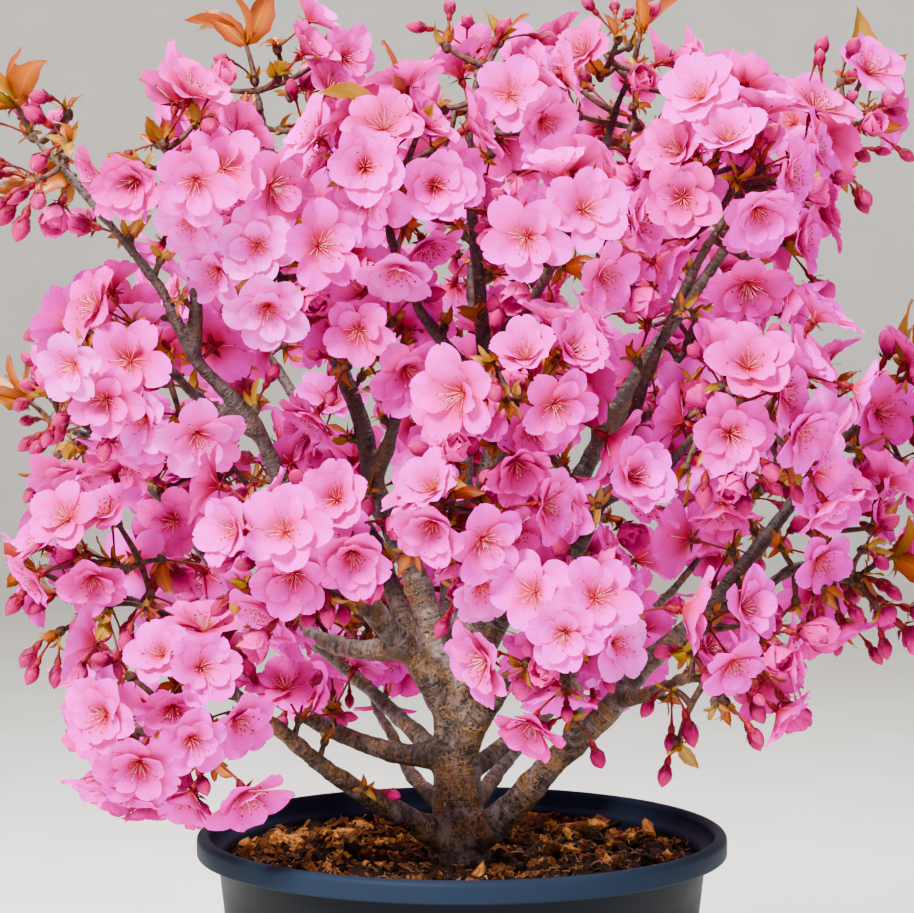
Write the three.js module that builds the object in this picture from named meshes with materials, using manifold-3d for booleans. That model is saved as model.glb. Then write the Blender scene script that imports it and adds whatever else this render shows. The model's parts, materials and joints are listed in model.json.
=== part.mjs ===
// Potted flowering cherry: a young tree in full bloom, in a round nursery pot of compost.
// Millimetres, +Z up, +Y away from the viewer. The origin is on the pot's axis, at its underside.
import * as THREE from "three";
import { mergeVertices } from "three/addons/utils/BufferGeometryUtils.js";
import Module from "manifold-3d";

const wasm = await Module();
wasm.setup();

// Driving dimensions of the pot: a plain tapered tub with a stout outward band at the rim.
const POT = {
  height: 225,
  footRadius: 105,
  wallTopRadius: 129,
  wall: 2.4,
  base: 3,
  bandRadius: 140,
  bandHeight: 11.5,
  bandLip: 7,
  bandEdge: 1.4,
  ledgeDepth: 9,
  ledgeFall: 1,
  footEdge: 2,
  draft: 0.4,
  segments: 32,
};

// Compost: its level about the trunk and at the wall, and the clearance between solids.
const GAP = 0.3;
const SOIL = { middle: 206, middleRadius: 26, edge: 211, shoulder: 0.7, segments: 32 };

// Trunk: from a flat cut on the compost to its fork, with a root flare at the foot.
const TRUNK = {
  foot: [-1, 0, SOIL.middle + GAP],
  fork: [-4, 1, 294],
  radius: 13.4,
  forkRadius: 11.4,
  flare: 5,
  flareHeight: 16,
  rings: [0, 0.1, 0.25, 0.5, 0.75, 0.93, 1],
  crownShare: 0.6,
  sides: 12,
};

// How limbs grow: ring spacing, how strongly a limb keeps its first direction, how far it wanders.
const LIMB = { step: 42, bow: 0.5, crook: 0.009, collar: 0.22, collarReach: 14, sides: 5 };

// How a mass of blossom grows from one stem, and how large its pieces are. An umbel is the cluster
// of stalks on the end of a spur.
const STEM = { footRadius: 5.2, share: 0.95, bow: 0.45, steps: 3, beyond: 0.15 };
const TWIG = {
  footRadius: 3,
  endRadius: 2.4,
  shortest: 16,
  longest: 74,
  bend: 0.16,
  shares: [0.36, 0.5, 0.64, 0.78, 0.92],
  checks: [0.3, 0.5, 0.75, 1],
  spurShare: 0.8,
};
const UMBEL = {
  tries: 120,
  enough: 8,
  turns: [0, 0.08, 0.16, 0.24],
  apart: 34,
  pedicel: 27,
  spread: 1.2,
  gather: 0.4,
  droop: 0.16,
  leafy: 0.4,
  nearest: 0.5,
  scatter: 0.34,
  outward: 0.9,
  behind: 0.6,
};
const KNUCKLE = { radius: 2.7, half: 1.9 };
const BLOSSOM = { radius: 22.5, petals: 5, notch: 0.74, cup: 0.3, back: 0.44, neck: 1.7 };
const BUD = { radius: 6, length: 15, pedicel: 21, neck: 1.3 };
const LEAF = { length: 36, width: 14, keel: 2.4, widest: 0.45 };
const CROWN_CENTRE = new THREE.Vector3(0, 0, 430);
const DOWN = new THREE.Vector3(0, 0, -1);
const CLEAR = 1;
const OVERHANG = 14;

// Steps whose multiples fall evenly over a square, for placing umbels evenly over a sphere.
const EVEN_STEPS = [0.7548776662, 0.569840291];

// Limbs, parents first: where each leaves its parent as a share of the parent's length, its first
// heading (degrees from +X, anticlockwise from above) and rise (degrees above level), its tip, and
// its radius at foot and tip.
const LIMBS = [
  limb("leader_left", "trunk", 0.93, [150, 67], [-92, -3, 556], [8.8, 3.4]),
  limb("leader_left_front", "trunk", 0.8, [217, 50], [-172, -108, 541], [7.8, 2.8]),
  limb("leader_centre", "trunk", 0.95, [310, 68], [4, -48, 556], [7.6, 3.6]),
  limb("leader_right_back", "trunk", 0.88, [35, 59], [172, 92, 566], [7.4, 3.6]),
  limb("leader_right_front", "trunk", 0.6, [318, 50], [104, -110, 500], [7, 3]),
  limb("bough_low_right", "trunk", 0.15, [323, 38], [205, 25, 432], [9, 3.8]),
  limb("bough_low_left", "trunk", 0.12, [218, 30], [-112, -88, 308], [7.2, 4.2]),
  limb("bough_left", "trunk", 0.6, [150, -6], [-150, 4, 332], [6.4, 3.8]),
  limb("leader_back_left", "trunk", 0.76, [122, 48], [-96, 128, 452], [6.8, 3.6]),
  limb("leader_back", "trunk", 0.84, [80, 62], [6, 140, 508], [6.6, 3.6]),
  limb("bough_left_upper", "leader_left_front", 0.15, [140, -14], [-180, 62, 414], [5.6, 3.4]),
  limb("bough_far_left", "leader_left_front", 0.6, [192, 22], [-140, -98, 466], [4, 3]),
  limb("bough_top_left", "leader_left_front", 0.76, [300, 62], [-136, -96, 530], [3.8, 3]),
  limb("bough_front_left", "leader_left_front", 0.24, [250, 12], [-64, -112, 362], [4.6, 3.2]),
  limb("bough_upper_left", "leader_left", 0.7, [235, 30], [-88, -46, 508], [4.2, 3]),
  limb("bough_inner_left", "leader_left", 0.46, [318, 52], [-34, -34, 462], [4.4, 3]),
  limb("bough_centre_left", "leader_centre", 0.64, [208, 36], [-30, -80, 518], [4.2, 3]),
  limb("bough_front_upper", "leader_centre", 0.45, [282, 22], [26, -110, 438], [4.4, 3]),
  limb("bough_upper_right", "leader_centre", 0.72, [322, 35], [36, -84, 506], [4, 3]),
  limb("bough_front", "leader_centre", 0.22, [268, 18], [-4, -116, 384], [4.6, 3.2]),
  limb("bough_top_right", "leader_right_back", 0.5, [252, 76], [76, 30, 574], [4.6, 3.2]),
  limb("bough_back_upper", "leader_right_back", 0.5, [60, 30], [118, 136, 466], [4.6, 3.2]),
  limb("bough_right", "leader_right_front", 0.62, [342, 20], [110, -114, 434], [4.4, 3.2]),
  limb("bough_front_low", "bough_low_right", 0.3, [275, 38], [54, -110, 320], [4.8, 3.2]),
  limb("bough_low_right_front", "bough_low_right", 0.42, [305, 8], [106, -84, 314], [4.6, 3.2]),
  limb("bough_right_low", "bough_low_right", 0.64, [345, 4], [166, -24, 362], [4.6, 3.2]),
];

// Masses of blossom: the limb whose tip carries each, the middle of its space, its reach, and the
// share of its buds that are open. Those carried by the trunk also give where their stem leaves it
// and the stem's heading and rise.
const MASSES = [
  mass("blossom_top_left", "leader_left", [-104, -6, 612], 58, 0.92),
  mass("blossom_left_tip", "leader_left_front", [-204, -98, 578], 48, 0.12),
  mass("blossom_top", "leader_centre", [8, -22, 612], 62, 0.92),
  mass("blossom_right_tip", "leader_right_back", [212, 98, 608], 58, 0.65),
  mass("blossom_upper_right", "leader_right_front", [138, -102, 560], 68, 0.92),
  mass("blossom_far_right", "bough_low_right", [236, 56, 440], 58, 0.6),
  mass("blossom_low_left", "bough_low_left", [-152, -112, 300], 56, 0.7),
  mass("blossom_left_low", "bough_left", [-192, -36, 358], 60, 0.65),
  mass("blossom_back_left", "leader_back_left", [-126, 162, 496], 62, 0.92),
  mass("blossom_back_top", "leader_back", [8, 176, 556], 62, 0.92),
  mass("blossom_left", "bough_left_upper", [-216, 58, 436], 58, 0.45),
  mass("blossom_far_left", "bough_far_left", [-174, -100, 474], 58, 0.92),
  mass("blossom_left_crest", "bough_top_left", [-140, -98, 574], 54, 0.92),
  mass("blossom_front_left", "bough_front_left", [-78, -150, 380], 58, 0.92),
  mass("blossom_upper_left", "bough_upper_left", [-100, -80, 524], 54, 0.92),
  mass("blossom_inner_left", "bough_inner_left", [-50, -70, 486], 50, 0.92),
  mass("blossom_centre_left", "bough_centre_left", [-36, -94, 566], 56, 0.92),
  mass("blossom_front_upper", "bough_front_upper", [32, -148, 456], 58, 0.92),
  mass("blossom_centre_right", "bough_upper_right", [52, -108, 534], 56, 0.92),
  mass("blossom_front", "bough_front", [-6, -156, 398], 52, 0.92),
  mass("blossom_top_right", "bough_top_right", [88, 28, 620], 62, 0.92),
  mass("blossom_back_right", "bough_back_upper", [142, 172, 496], 62, 0.92),
  mass("blossom_right", "bough_right", [138, -130, 446], 66, 0.92),
  mass("blossom_front_low", "bough_front_low", [52, -146, 340], 54, 0.92),
  mass("blossom_right_front", "bough_low_right_front", [128, -112, 322], 56, 0.65),
  mass("blossom_right_low", "bough_right_low", [198, -26, 364], 56, 0.55),
  mass("blossom_back", "trunk", [4, 196, 438], 62, 0.92, { at: 0.7, heading: 96, rise: 34 }),
  mass("blossom_back_far_left", "trunk", [-146, 138, 388], 62, 0.92, { at: 0.55, heading: 132, rise: 22 }),
  mass("blossom_back_far_right", "trunk", [160, 136, 394], 62, 0.92, { at: 0.5, heading: 44, rise: 24 }),
  mass("blossom_back_low_right", "trunk", [78, 176, 320], 60, 0.92, { at: 0.34, heading: 66, rise: 14 }),
  mass("blossom_back_low_left", "trunk", [-62, 176, 316], 60, 0.92, { at: 0.3, heading: 114, rise: 14 }),
];

function limb(name, parent, at, [heading, rise], tip, radius) {
  return { name, parent, at, heading, rise, tip: new THREE.Vector3(...tip), radius };
}

function mass(name, carrier, centre, reach, open, leaves = null) {
  return { name, carrier, centre: new THREE.Vector3(...centre), reach, open, leaves };
}

// A fixed number from 0 to 1 for three counting numbers: the seed of everything that varies.
function chance(a, b, c) {
  const wave = Math.sin(a * 12.9898 + b * 78.233 + c * 37.719 + 4.1) * 43758.5453;
  return wave - Math.floor(wave);
}

function direction(headingDegrees, riseDegrees) {
  const heading = THREE.MathUtils.degToRad(headingDegrees);
  const rise = THREE.MathUtils.degToRad(riseDegrees);
  const level = Math.cos(rise);
  return new THREE.Vector3(level * Math.cos(heading), level * Math.sin(heading), Math.sin(rise));
}

// Two unit vectors square to an axis and to each other.
function across(axis) {
  const helper = Math.abs(axis.z) < 0.9 ? new THREE.Vector3(0, 0, 1) : new THREE.Vector3(1, 0, 0);
  const side = new THREE.Vector3().crossVectors(helper, axis).normalize();
  return [side, new THREE.Vector3().crossVectors(axis, side)];
}

const along = (origin, ...terms) =>
  terms.reduce((sum, [vector, amount]) => sum.addScaledVector(vector, amount), origin.clone());

// A closed mesh with shared vertices as a solid that can be joined and cut, and back.
function solidOf(geometry) {
  const bare = geometry.clone();
  bare.deleteAttribute("normal");
  bare.deleteAttribute("uv");
  const merged = mergeVertices(bare, 1e-4);
  const vertProperties = new Float32Array(merged.attributes.position.array);
  const triVerts = new Uint32Array(merged.index.array);
  return new wasm.Manifold(new wasm.Mesh({ numProp: 3, vertProperties, triVerts }));
}

function geometryOf(solid) {
  const { vertProperties, triVerts } = solid.getMesh();
  const geometry = new THREE.BufferGeometry();
  geometry.setAttribute("position", new THREE.BufferAttribute(vertProperties, 3));
  geometry.setIndex(new THREE.BufferAttribute(triVerts, 1));
  geometry.computeVertexNormals();
  return geometry;
}

// The main piece of a solid: scraps and sealed hollows are left behind.
function mainPiece(solid) {
  return solid.decompose().reduce((a, b) => (b.volume() > a.volume() ? b : a));
}

function meshFromPoints(points, triangles) {
  const geometry = new THREE.BufferGeometry().setFromPoints(points);
  geometry.setIndex(triangles);
  return geometry;
}

// A round limb through a row of points with a radius at each: rings carried along without twist. The
// first ring can be cut square to a given way instead of to the limb.
function tube(points, radii, sides, firstWay = null) {
  const rings = [];
  let side = null;
  points.forEach((point, i) => {
    const before = points[Math.max(i - 1, 0)];
    const after = points[Math.min(i + 1, points.length - 1)];
    const tangent = firstWay && i === 0 ? firstWay : after.clone().sub(before).normalize();
    side = side ? side.addScaledVector(tangent, -side.dot(tangent)).normalize() : across(tangent)[0];
    const other = new THREE.Vector3().crossVectors(tangent, side);
    for (let k = 0; k < sides; k++) {
      const angle = (2 * Math.PI * k) / sides;
      rings.push(along(point, [side, radii[i] * Math.cos(angle)], [other, radii[i] * Math.sin(angle)]));
    }
    side = side.clone();
  });
  const triangles = [];
  for (let i = 0; i + 1 < points.length; i++) {
    for (let k = 0; k < sides; k++) {
      const [a, b] = [i * sides + k, i * sides + ((k + 1) % sides)];
      triangles.push(a, b, b + sides, a, b + sides, a + sides);
    }
  }
  const last = (points.length - 1) * sides;
  for (let k = 1; k + 1 < sides; k++) {
    triangles.push(0, k + 1, k, last, last + k, last + k + 1);
  }
  return meshFromPoints(rings, triangles);
}

// The path of a limb: an arc that starts in one direction and ends at the tip, with small crooks.
function arc(start, heading, tip, index) {
  const span = start.distanceTo(tip);
  const middle = along(start, [heading, LIMB.bow * span]);
  const curve = new THREE.QuadraticBezierCurve3(start, middle, tip);
  const count = Math.max(3, Math.ceil(curve.getLength() / LIMB.step));
  const [side, other] = across(tip.clone().sub(start).normalize());
  const points = [];
  for (let i = 0; i <= count; i++) {
    const share = i / count;
    const sway = LIMB.crook * span * (i > 0 && i < count ? 1 : 0);
    const turn = 2 * Math.PI * chance(index, i, 1);
    points.push(along(curve.getPoint(share), [side, sway * Math.cos(turn)], [other, sway * Math.sin(turn)]));
  }
  return points;
}

// Radii along a limb: an even taper, with a collar where it joins its parent.
function taper(points, [foot, tip]) {
  let run = 0;
  return points.map((point, i) => {
    run += i ? point.distanceTo(points[i - 1]) : 0;
    const even = foot + ((tip - foot) * i) / (points.length - 1);
    return even * (1 + LIMB.collar * Math.exp(-run / LIMB.collarReach));
  });
}

function pointAt(points, share) {
  const place = share * (points.length - 1);
  const i = Math.min(Math.floor(place), points.length - 2);
  return points[i].clone().lerp(points[i + 1], place - i);
}

function trunkPath() {
  const foot = new THREE.Vector3(...TRUNK.foot);
  const fork = new THREE.Vector3(...TRUNK.fork);
  const radii = TRUNK.rings.map((share) => {
    const height = share * (fork.z - foot.z);
    const flare = TRUNK.flare * Math.exp(-height / TRUNK.flareHeight);
    const rounded = share === 1 ? TRUNK.crownShare : 1;
    return rounded * (TRUNK.radius + (TRUNK.forkRadius - TRUNK.radius) * share + flare);
  });
  const points = TRUNK.rings.map((share) => foot.clone().lerp(fork, share));
  return { points, radii, sides: TRUNK.sides, firstWay: new THREE.Vector3(0, 0, 1) };
}

// Every limb's path, by name, with what it is made from.
const paths = new Map([["trunk", trunkPath()]]);
LIMBS.forEach((spec, index) => {
  const start = pointAt(paths.get(spec.parent).points, spec.at);
  const points = arc(start, direction(spec.heading, spec.rise), spec.tip, index);
  paths.set(spec.name, { points, radii: taper(points, spec.radius), sides: LIMB.sides });
});

// The path of each mass's stem, from its limb's tip, or from inside the trunk, out into its space.
function stemPath(spec, index) {
  const outward = spec.centre.clone().sub(CROWN_CENTRE).normalize();
  const end = along(spec.centre, [outward, STEM.beyond * spec.reach]);
  if (spec.leaves) {
    const start = pointAt(paths.get(spec.carrier).points, spec.leaves.at);
    const way = direction(spec.leaves.heading, spec.leaves.rise);
    const points = arc(start, way, end, LIMBS.length + index);
    return { points, radii: taper(points, [STEM.footRadius, TWIG.endRadius]), way };
  }
  const { points: carrier, radii } = paths.get(spec.carrier);
  const tip = carrier.at(-1);
  const way = tip.clone().sub(carrier.at(-2)).normalize();
  const start = along(tip, [way, GAP]);
  const middle = along(start, [way, STEM.bow * start.distanceTo(end)]);
  const points = new THREE.QuadraticBezierCurve3(start, middle, end).getPoints(STEM.steps);
  const foot = STEM.share * radii.at(-1);
  const shrink = (TWIG.endRadius - foot) / STEM.steps;
  return { points, radii: points.map((_, i) => foot + shrink * i), way };
}

const stems = MASSES.map(stemPath);

// Every stretch of limb and stem as a round-ended rod, for keeping blossom clear of wood.
const rods = [];
[...paths].forEach(([owner, path]) => addRods(owner, path));
stems.forEach((path, index) => addRods(MASSES[index].name, path));

function addRods(owner, { points, radii }) {
  for (let i = 0; i + 1 < points.length; i++) {
    const line = new THREE.Line3(points[i], points[i + 1]);
    rods.push({ owner, line, radius: Math.max(radii[i], radii[i + 1]) });
  }
}

const nearest = new THREE.Vector3();

function clearOfWood(point, owner, margin) {
  return rods.every((rod) => {
    if (rod.owner === owner) return true;
    rod.line.closestPointToPoint(point, true, nearest);
    return nearest.distanceTo(point) > rod.radius + margin;
  });
}

// A mass keeps to the points that are nearer to it than to any other mass, and within its reach.
function inOwnSpace(point, index) {
  const own = MASSES[index];
  const power = point.distanceToSquared(own.centre) - own.reach ** 2;
  if (point.distanceTo(own.centre) > own.reach + OVERHANG) return false;
  return MASSES.every((other, k) => {
    if (k === index) return true;
    const theirs = point.distanceToSquared(other.centre) - other.reach ** 2;
    return (theirs - power) / (2 * own.centre.distanceTo(other.centre)) > CLEAR;
  });
}

// Three points about a centre, square to an axis, the first one lying towards a given side.
function triangleRing(centre, axis, towards, radius) {
  const side = along(towards, [axis, -towards.dot(axis)]).normalize();
  const other = new THREE.Vector3().crossVectors(axis, side);
  return [0, 1, 2].map((k) => {
    const angle = (2 * Math.PI * k) / 3;
    return along(centre, [side, radius * Math.cos(angle)], [other, radius * Math.sin(angle)]);
  });
}

// A shoot under construction: rings of three points, joined one on another into a closed skin.
class Shoot {
  constructor(foot) {
    this.points = [];
    this.triangles = [];
    const [a, b, c] = this.add(foot);
    this.triangles.push(a, c, b);
    this.foot = [a, b, c];
  }

  add(points) {
    this.points.push(...points);
    return points.map((_, i) => this.points.length - points.length + i);
  }

  // Joins a ring of three to the next one up.
  bridge(ring, points) {
    const next = this.add(points);
    for (let k = 0; k < 3; k++) {
      const m = (k + 1) % 3;
      this.triangles.push(ring[k], ring[m], next[m], ring[k], next[m], next[k]);
    }
    return next;
  }

  close(ring, point) {
    const [tip] = this.add([point]);
    ring.forEach((corner, k) => this.triangles.push(corner, ring[(k + 1) % ring.length], tip));
  }

  towards(ring) {
    return this.points[ring[0]].clone().sub(this.middle(ring));
  }

  middle(ring) {
    return along(new THREE.Vector3(), ...ring.map((corner) => [this.points[corner], 1 / 3]));
  }

  solid() {
    return solidOf(meshFromPoints(this.points, this.triangles));
  }
}

// A blossom on its stalk: the calyx opens into a lobed cup.
function addBlossom(shoot, root, { centre, gaze }) {
  const towards = shoot.towards(root);
  const calyx = along(centre, [gaze, -BLOSSOM.back * BLOSSOM.radius]);
  const neck = shoot.bridge(root, triangleRing(calyx, gaze, towards, BLOSSOM.neck));
  const rim = shoot.add(rimPoints(centre, gaze, towards));
  const lobes = rim.length;
  const under = (k) => neck[Math.round((3 * k) / lobes) % 3];
  for (let k = 0; k < lobes; k++) {
    const next = rim[(k + 1) % lobes];
    shoot.triangles.push(next, rim[k], under(k));
    if (under(k) !== under(k + 1)) shoot.triangles.push(next, under(k), under(k + 1));
  }
  shoot.close(rim, along(centre, [gaze, -BLOSSOM.cup * BLOSSOM.radius]));
}

function rimPoints(centre, gaze, towards) {
  const side = along(towards, [gaze, -towards.dot(gaze)]).normalize();
  const other = new THREE.Vector3().crossVectors(gaze, side);
  return Array.from({ length: 2 * BLOSSOM.petals }, (_, k) => {
    const angle = (Math.PI * k) / BLOSSOM.petals;
    const reach = BLOSSOM.radius * (k % 2 ? BLOSSOM.notch : 1);
    return along(centre, [side, reach * Math.cos(angle)], [other, reach * Math.sin(angle)]);
  });
}

// A closed bud on its stalk.
function addBud(shoot, root, { centre, gaze }) {
  const towards = shoot.towards(root);
  const calyx = along(centre, [gaze, -0.5 * BUD.length]);
  const neck = shoot.bridge(root, triangleRing(calyx, gaze, towards, BUD.neck));
  const widest = shoot.bridge(neck, triangleRing(centre, gaze, towards, BUD.radius));
  shoot.close(widest, along(centre, [gaze, 0.5 * BUD.length]));
}

// A young leaf: a keeled blade, widest before its middle.
function addLeaf(shoot, root, { centre, gaze }) {
  const towards = shoot.towards(root);
  const keel = along(towards, [gaze, -towards.dot(gaze)]).normalize();
  const wide = new THREE.Vector3().crossVectors(gaze, keel);
  const blade = shoot.bridge(root, [
    along(centre, [keel, LEAF.keel]),
    along(centre, [wide, 0.5 * LEAF.width]),
    along(centre, [wide, -0.5 * LEAF.width]),
  ]);
  shoot.close(blade, along(centre, [gaze, (1 - LEAF.widest) * LEAF.length]));
}

// A place for an umbel of blossom, and the way it faces: outward from the mass and from the crown.
function umbelPlace(spec, index, k) {
  const height = 1 - 2 * ((EVEN_STEPS[0] * (k + 1) + chance(index, 0, 2)) % 1);
  const angle = 2 * Math.PI * ((EVEN_STEPS[1] * (k + 1) + chance(index, 0, 3)) % 1);
  const level = Math.sqrt(1 - height * height);
  const way = new THREE.Vector3(level * Math.cos(angle), level * Math.sin(angle), height);
  const far = spec.reach * (UMBEL.nearest + UMBEL.scatter * chance(index, k, 4));
  const place = along(spec.centre, [way, far]);
  const outward = place.clone().sub(CROWN_CENTRE).normalize();
  return { place, facing: along(way, [outward, UMBEL.outward]).normalize() };
}

// The knobbly end of a spur, as an eight-faced knuckle: a ring of three towards the twig, a ring of
// three in front, and between them three faces from which the stalks of the blossoms grow.
function knuckle(spur, facing, towards) {
  const away = towards.clone().negate();
  return {
    rear: triangleRing(along(spur, [facing, -KNUCKLE.half]), facing, towards, KNUCKLE.radius),
    front: triangleRing(along(spur, [facing, KNUCKLE.half]), facing, away, KNUCKLE.radius),
  };
}

const stalkFace = (rear, front, k) => [front[(k + 1) % 3], rear[k], front[(k + 2) % 3]];
const plainFace = (rear, front, k) => [rear[k], rear[(k + 1) % 3], front[(k + 2) % 3]];

// One mass of blossom: umbels are tried in a fixed order, and each that fits is joined by a twig to
// the nearest wood of the mass. A blossom, bud or leaf that does not fit is left out.
class BlossomMass {
  constructor(spec, index, stem) {
    Object.assign(this, { spec, index, stem, twigs: [], soft: [], spurs: [], shoots: [], blossoms: 0 });
    this.starts = TWIG.shares.map((share) => pointAt(stem.points, share));
  }

  fits(point, margin) {
    return inOwnSpace(point, this.index) && clearOfWood(point, this.spec.name, CLEAR + margin);
  }

  // What can grow from one face of a knuckle, as a solid of its own, or nothing if it does not fit.
  trial(addPiece, face, place, others) {
    const shoot = new Shoot(face);
    addPiece(shoot, shoot.foot, place);
    const corners = shoot.points.slice(3);
    const middles = corners.map((corner) => corner.clone().lerp(place.centre, 0.5));
    if (![...corners, ...middles].every((corner) => this.fits(corner, 1))) return null;
    const solid = shoot.solid();
    return others.some((other) => touching(solid, other)) ? null : { addPiece, place, solid };
  }

  // The blossoms of an umbel at one turn about the way it faces, and the bud or leaf in front.
  umbel(spur, facing, towards, k) {
    const { rear, front } = knuckle(spur, facing, towards);
    const found = [null, null, null, null];
    const others = () => [...this.twigs, ...this.soft, ...found.filter(Boolean).map((piece) => piece.solid)];
    for (let j = 0; j < 3; j++) {
      const stalk = along(facing, [rear[j].clone().sub(spur).setLength(1), UMBEL.spread]).normalize();
      const gaze = along(stalk, [facing, UMBEL.gather], [DOWN, UMBEL.droop]).normalize();
      const open = chance(this.index, k, 7 + j) < this.spec.open;
      const place = { centre: along(spur, [stalk, open ? UMBEL.pedicel : BUD.pedicel]), gaze };
      found[j] = this.trial(open ? addBlossom : addBud, stalkFace(rear, front, j), place, others());
    }
    const leafy = chance(this.index, k, 6) < UMBEL.leafy;
    const reach = leafy ? LEAF.widest * LEAF.length : BUD.pedicel;
    const place = { centre: along(spur, [facing, reach]), gaze: facing };
    found[3] = this.trial(leafy ? addLeaf : addBud, front, place, others());
    return { rear, front, found, count: found.slice(0, 3).filter(Boolean).length };
  }

  // Grows a shoot along a row of points and sets an umbel on its end, if any blossom fits there.
  addShoot({ points, radii, way }, facing, k) {
    const spur = points.at(-1);
    const [side] = across(way);
    const turns = UMBEL.turns.map((share) => side.clone().applyAxisAngle(way, 2 * Math.PI * share));
    const choices = turns.map((towards) => this.umbel(spur, facing, towards, k));
    const best = choices.reduce((a, b) => (b.count > a.count ? b : a));
    if (!best.count && points !== this.stem.points) return false;
    const towards = turns[choices.indexOf(best)];
    const shoot = new Shoot(triangleRing(points[0], way, towards, radii[0]));
    let ring = shoot.foot;
    for (let i = 1; i + 1 < points.length; i++) {
      const onward = points[i + 1].clone().sub(points[i - 1]).normalize();
      ring = shoot.bridge(ring, triangleRing(points[i], onward, shoot.towards(ring), radii[i]));
    }
    const rear = shoot.bridge(ring, best.rear);
    const front = shoot.add(best.front);
    const faces = [0, 1, 2].map((j) => stalkFace(rear, front, j));
    [...faces, front].forEach((face, j) => {
      if (best.found[j]) best.found[j].addPiece(shoot, face, best.found[j].place);
      else shoot.triangles.push(...face);
    });
    for (let j = 0; j < 3; j++) shoot.triangles.push(...plainFace(rear, front, j));
    this.blossoms += best.count;
    this.soft.push(...best.found.filter(Boolean).map((piece) => piece.solid));
    this.spurs.push(spur);
    this.shoots.push(shoot.solid());
    return true;
  }

  addTwig(spur, facing, k) {
    const start = this.starts.reduce((a, b) => (b.distanceTo(spur) < a.distanceTo(spur) ? b : a));
    const span = start.distanceTo(spur);
    if (span < TWIG.shortest || span > TWIG.longest) return;
    const middle = along(start.clone().lerp(spur, 0.5), [facing, -TWIG.bend * span]);
    const points = [start, middle, spur];
    const checks = TWIG.checks.map((share) => pointAt(points, share));
    if (!checks.every((point) => this.fits(point, TWIG.footRadius))) return;
    const radii = [TWIG.footRadius, TWIG.endRadius, TWIG.endRadius];
    const twig = solidOf(tube(points, radii, 3));
    if (this.soft.some((other) => touching(twig, other))) return;
    const way = middle.clone().sub(start).normalize();
    if (!this.addShoot({ points, radii, way }, facing, k)) return;
    this.twigs.push(twig);
    this.starts.push(middle, pointAt(points, TWIG.spurShare));
  }

  // Every shoot of the mass, the stem first.
  grow() {
    const { points, radii } = this.stem;
    this.addShoot(this.stem, points.at(-1).clone().sub(points.at(-2)).normalize(), UMBEL.tries);
    this.twigs.push(solidOf(tube(points, radii, 3)));
    for (let k = 0; k < UMBEL.tries && this.blossoms < UMBEL.enough; k++) {
      const { place, facing } = umbelPlace(this.spec, this.index, k);
      const spur = along(place, [facing, -UMBEL.behind * UMBEL.pedicel]);
      const crowded = this.spurs.some((done) => done.distanceTo(spur) < UMBEL.apart);
      if (!crowded) this.addTwig(spur, facing, k);
    }
    return this.shoots;
  }
}

function touching(a, b) {
  const [one, two] = [a.boundingBox(), b.boundingBox()];
  const apart = [0, 1, 2].some((axis) => one.max[axis] < two.min[axis] || two.max[axis] < one.min[axis]);
  return !apart && !a.intersect(b).isEmpty();
}

// The pot's section, from the middle of the underside up the outside, over the rim and down inside.
function potSection() {
  const { height, footRadius, footEdge, wallTopRadius, wall, base, bandRadius, bandLip, bandEdge } = POT;
  const bandFoot = height - POT.bandHeight;
  const ledge = height - POT.ledgeDepth;
  const lipMiddle = bandRadius - 0.5 * bandLip;
  const roll = Array.from({ length: 5 }, (_, i) => {
    const angle = (Math.PI * i) / 4;
    return [lipMiddle + 0.5 * bandLip * Math.cos(angle), height - 0.5 * bandLip * (1 - Math.sin(angle))];
  });
  return [
    [0, 0],
    [footRadius - footEdge, 0],
    [footRadius, footEdge],
    [wallTopRadius, bandFoot],
    [bandRadius - bandEdge, bandFoot],
    [bandRadius, bandFoot + bandEdge],
    ...roll,
    [bandRadius - bandLip - POT.draft, ledge],
    [wallTopRadius - wall, ledge - POT.ledgeFall],
    [footRadius - wall, base],
    [0, base],
  ];
}

// The inner radius of the pot's wall at a height.
function innerRadius(z) {
  const [foot, top] = [POT.footRadius - POT.wall, POT.wallTopRadius - POT.wall];
  return foot + ((top - foot) * (z - POT.base)) / (POT.height - POT.ledgeDepth - POT.ledgeFall - POT.base);
}

function soilSection() {
  const foot = POT.base + GAP;
  const shoulder = 0.5 * (SOIL.middle + SOIL.edge);
  return [
    [0, foot],
    [innerRadius(foot) - 2 * GAP, foot],
    [innerRadius(SOIL.edge) - 2 * GAP, SOIL.edge],
    [SOIL.shoulder * innerRadius(SOIL.edge), shoulder],
    [SOIL.middleRadius, SOIL.middle],
    [0, SOIL.middle],
  ];
}

// A solid of revolution about +Z from a section of radius and height pairs.
function turned(section, segments) {
  const geometry = new THREE.LatheGeometry(
    section.map(([radius, z]) => new THREE.Vector2(radius, z)),
    segments,
  );
  return geometry.rotateX(Math.PI / 2);
}

const FINISHES = {
  pot: { color: 0x2b3038, roughness: 0.45, metalness: 0 },
  soil: { color: 0x4a2812, roughness: 0.95, metalness: 0 },
  bark: { color: 0x4d3b32, roughness: 0.75, metalness: 0 },
  blossom: { color: 0xf092c8, roughness: 0.6, metalness: 0 },
};

function namedMesh(name, geometry, finish) {
  const mesh = new THREE.Mesh(geometry, new THREE.MeshStandardMaterial(finish));
  mesh.name = name;
  return mesh;
}

const tree = new THREE.Group();
tree.add(namedMesh("pot", turned(potSection(), POT.segments), FINISHES.pot));
tree.add(namedMesh("soil", turned(soilSection(), SOIL.segments), FINISHES.soil));

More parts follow.
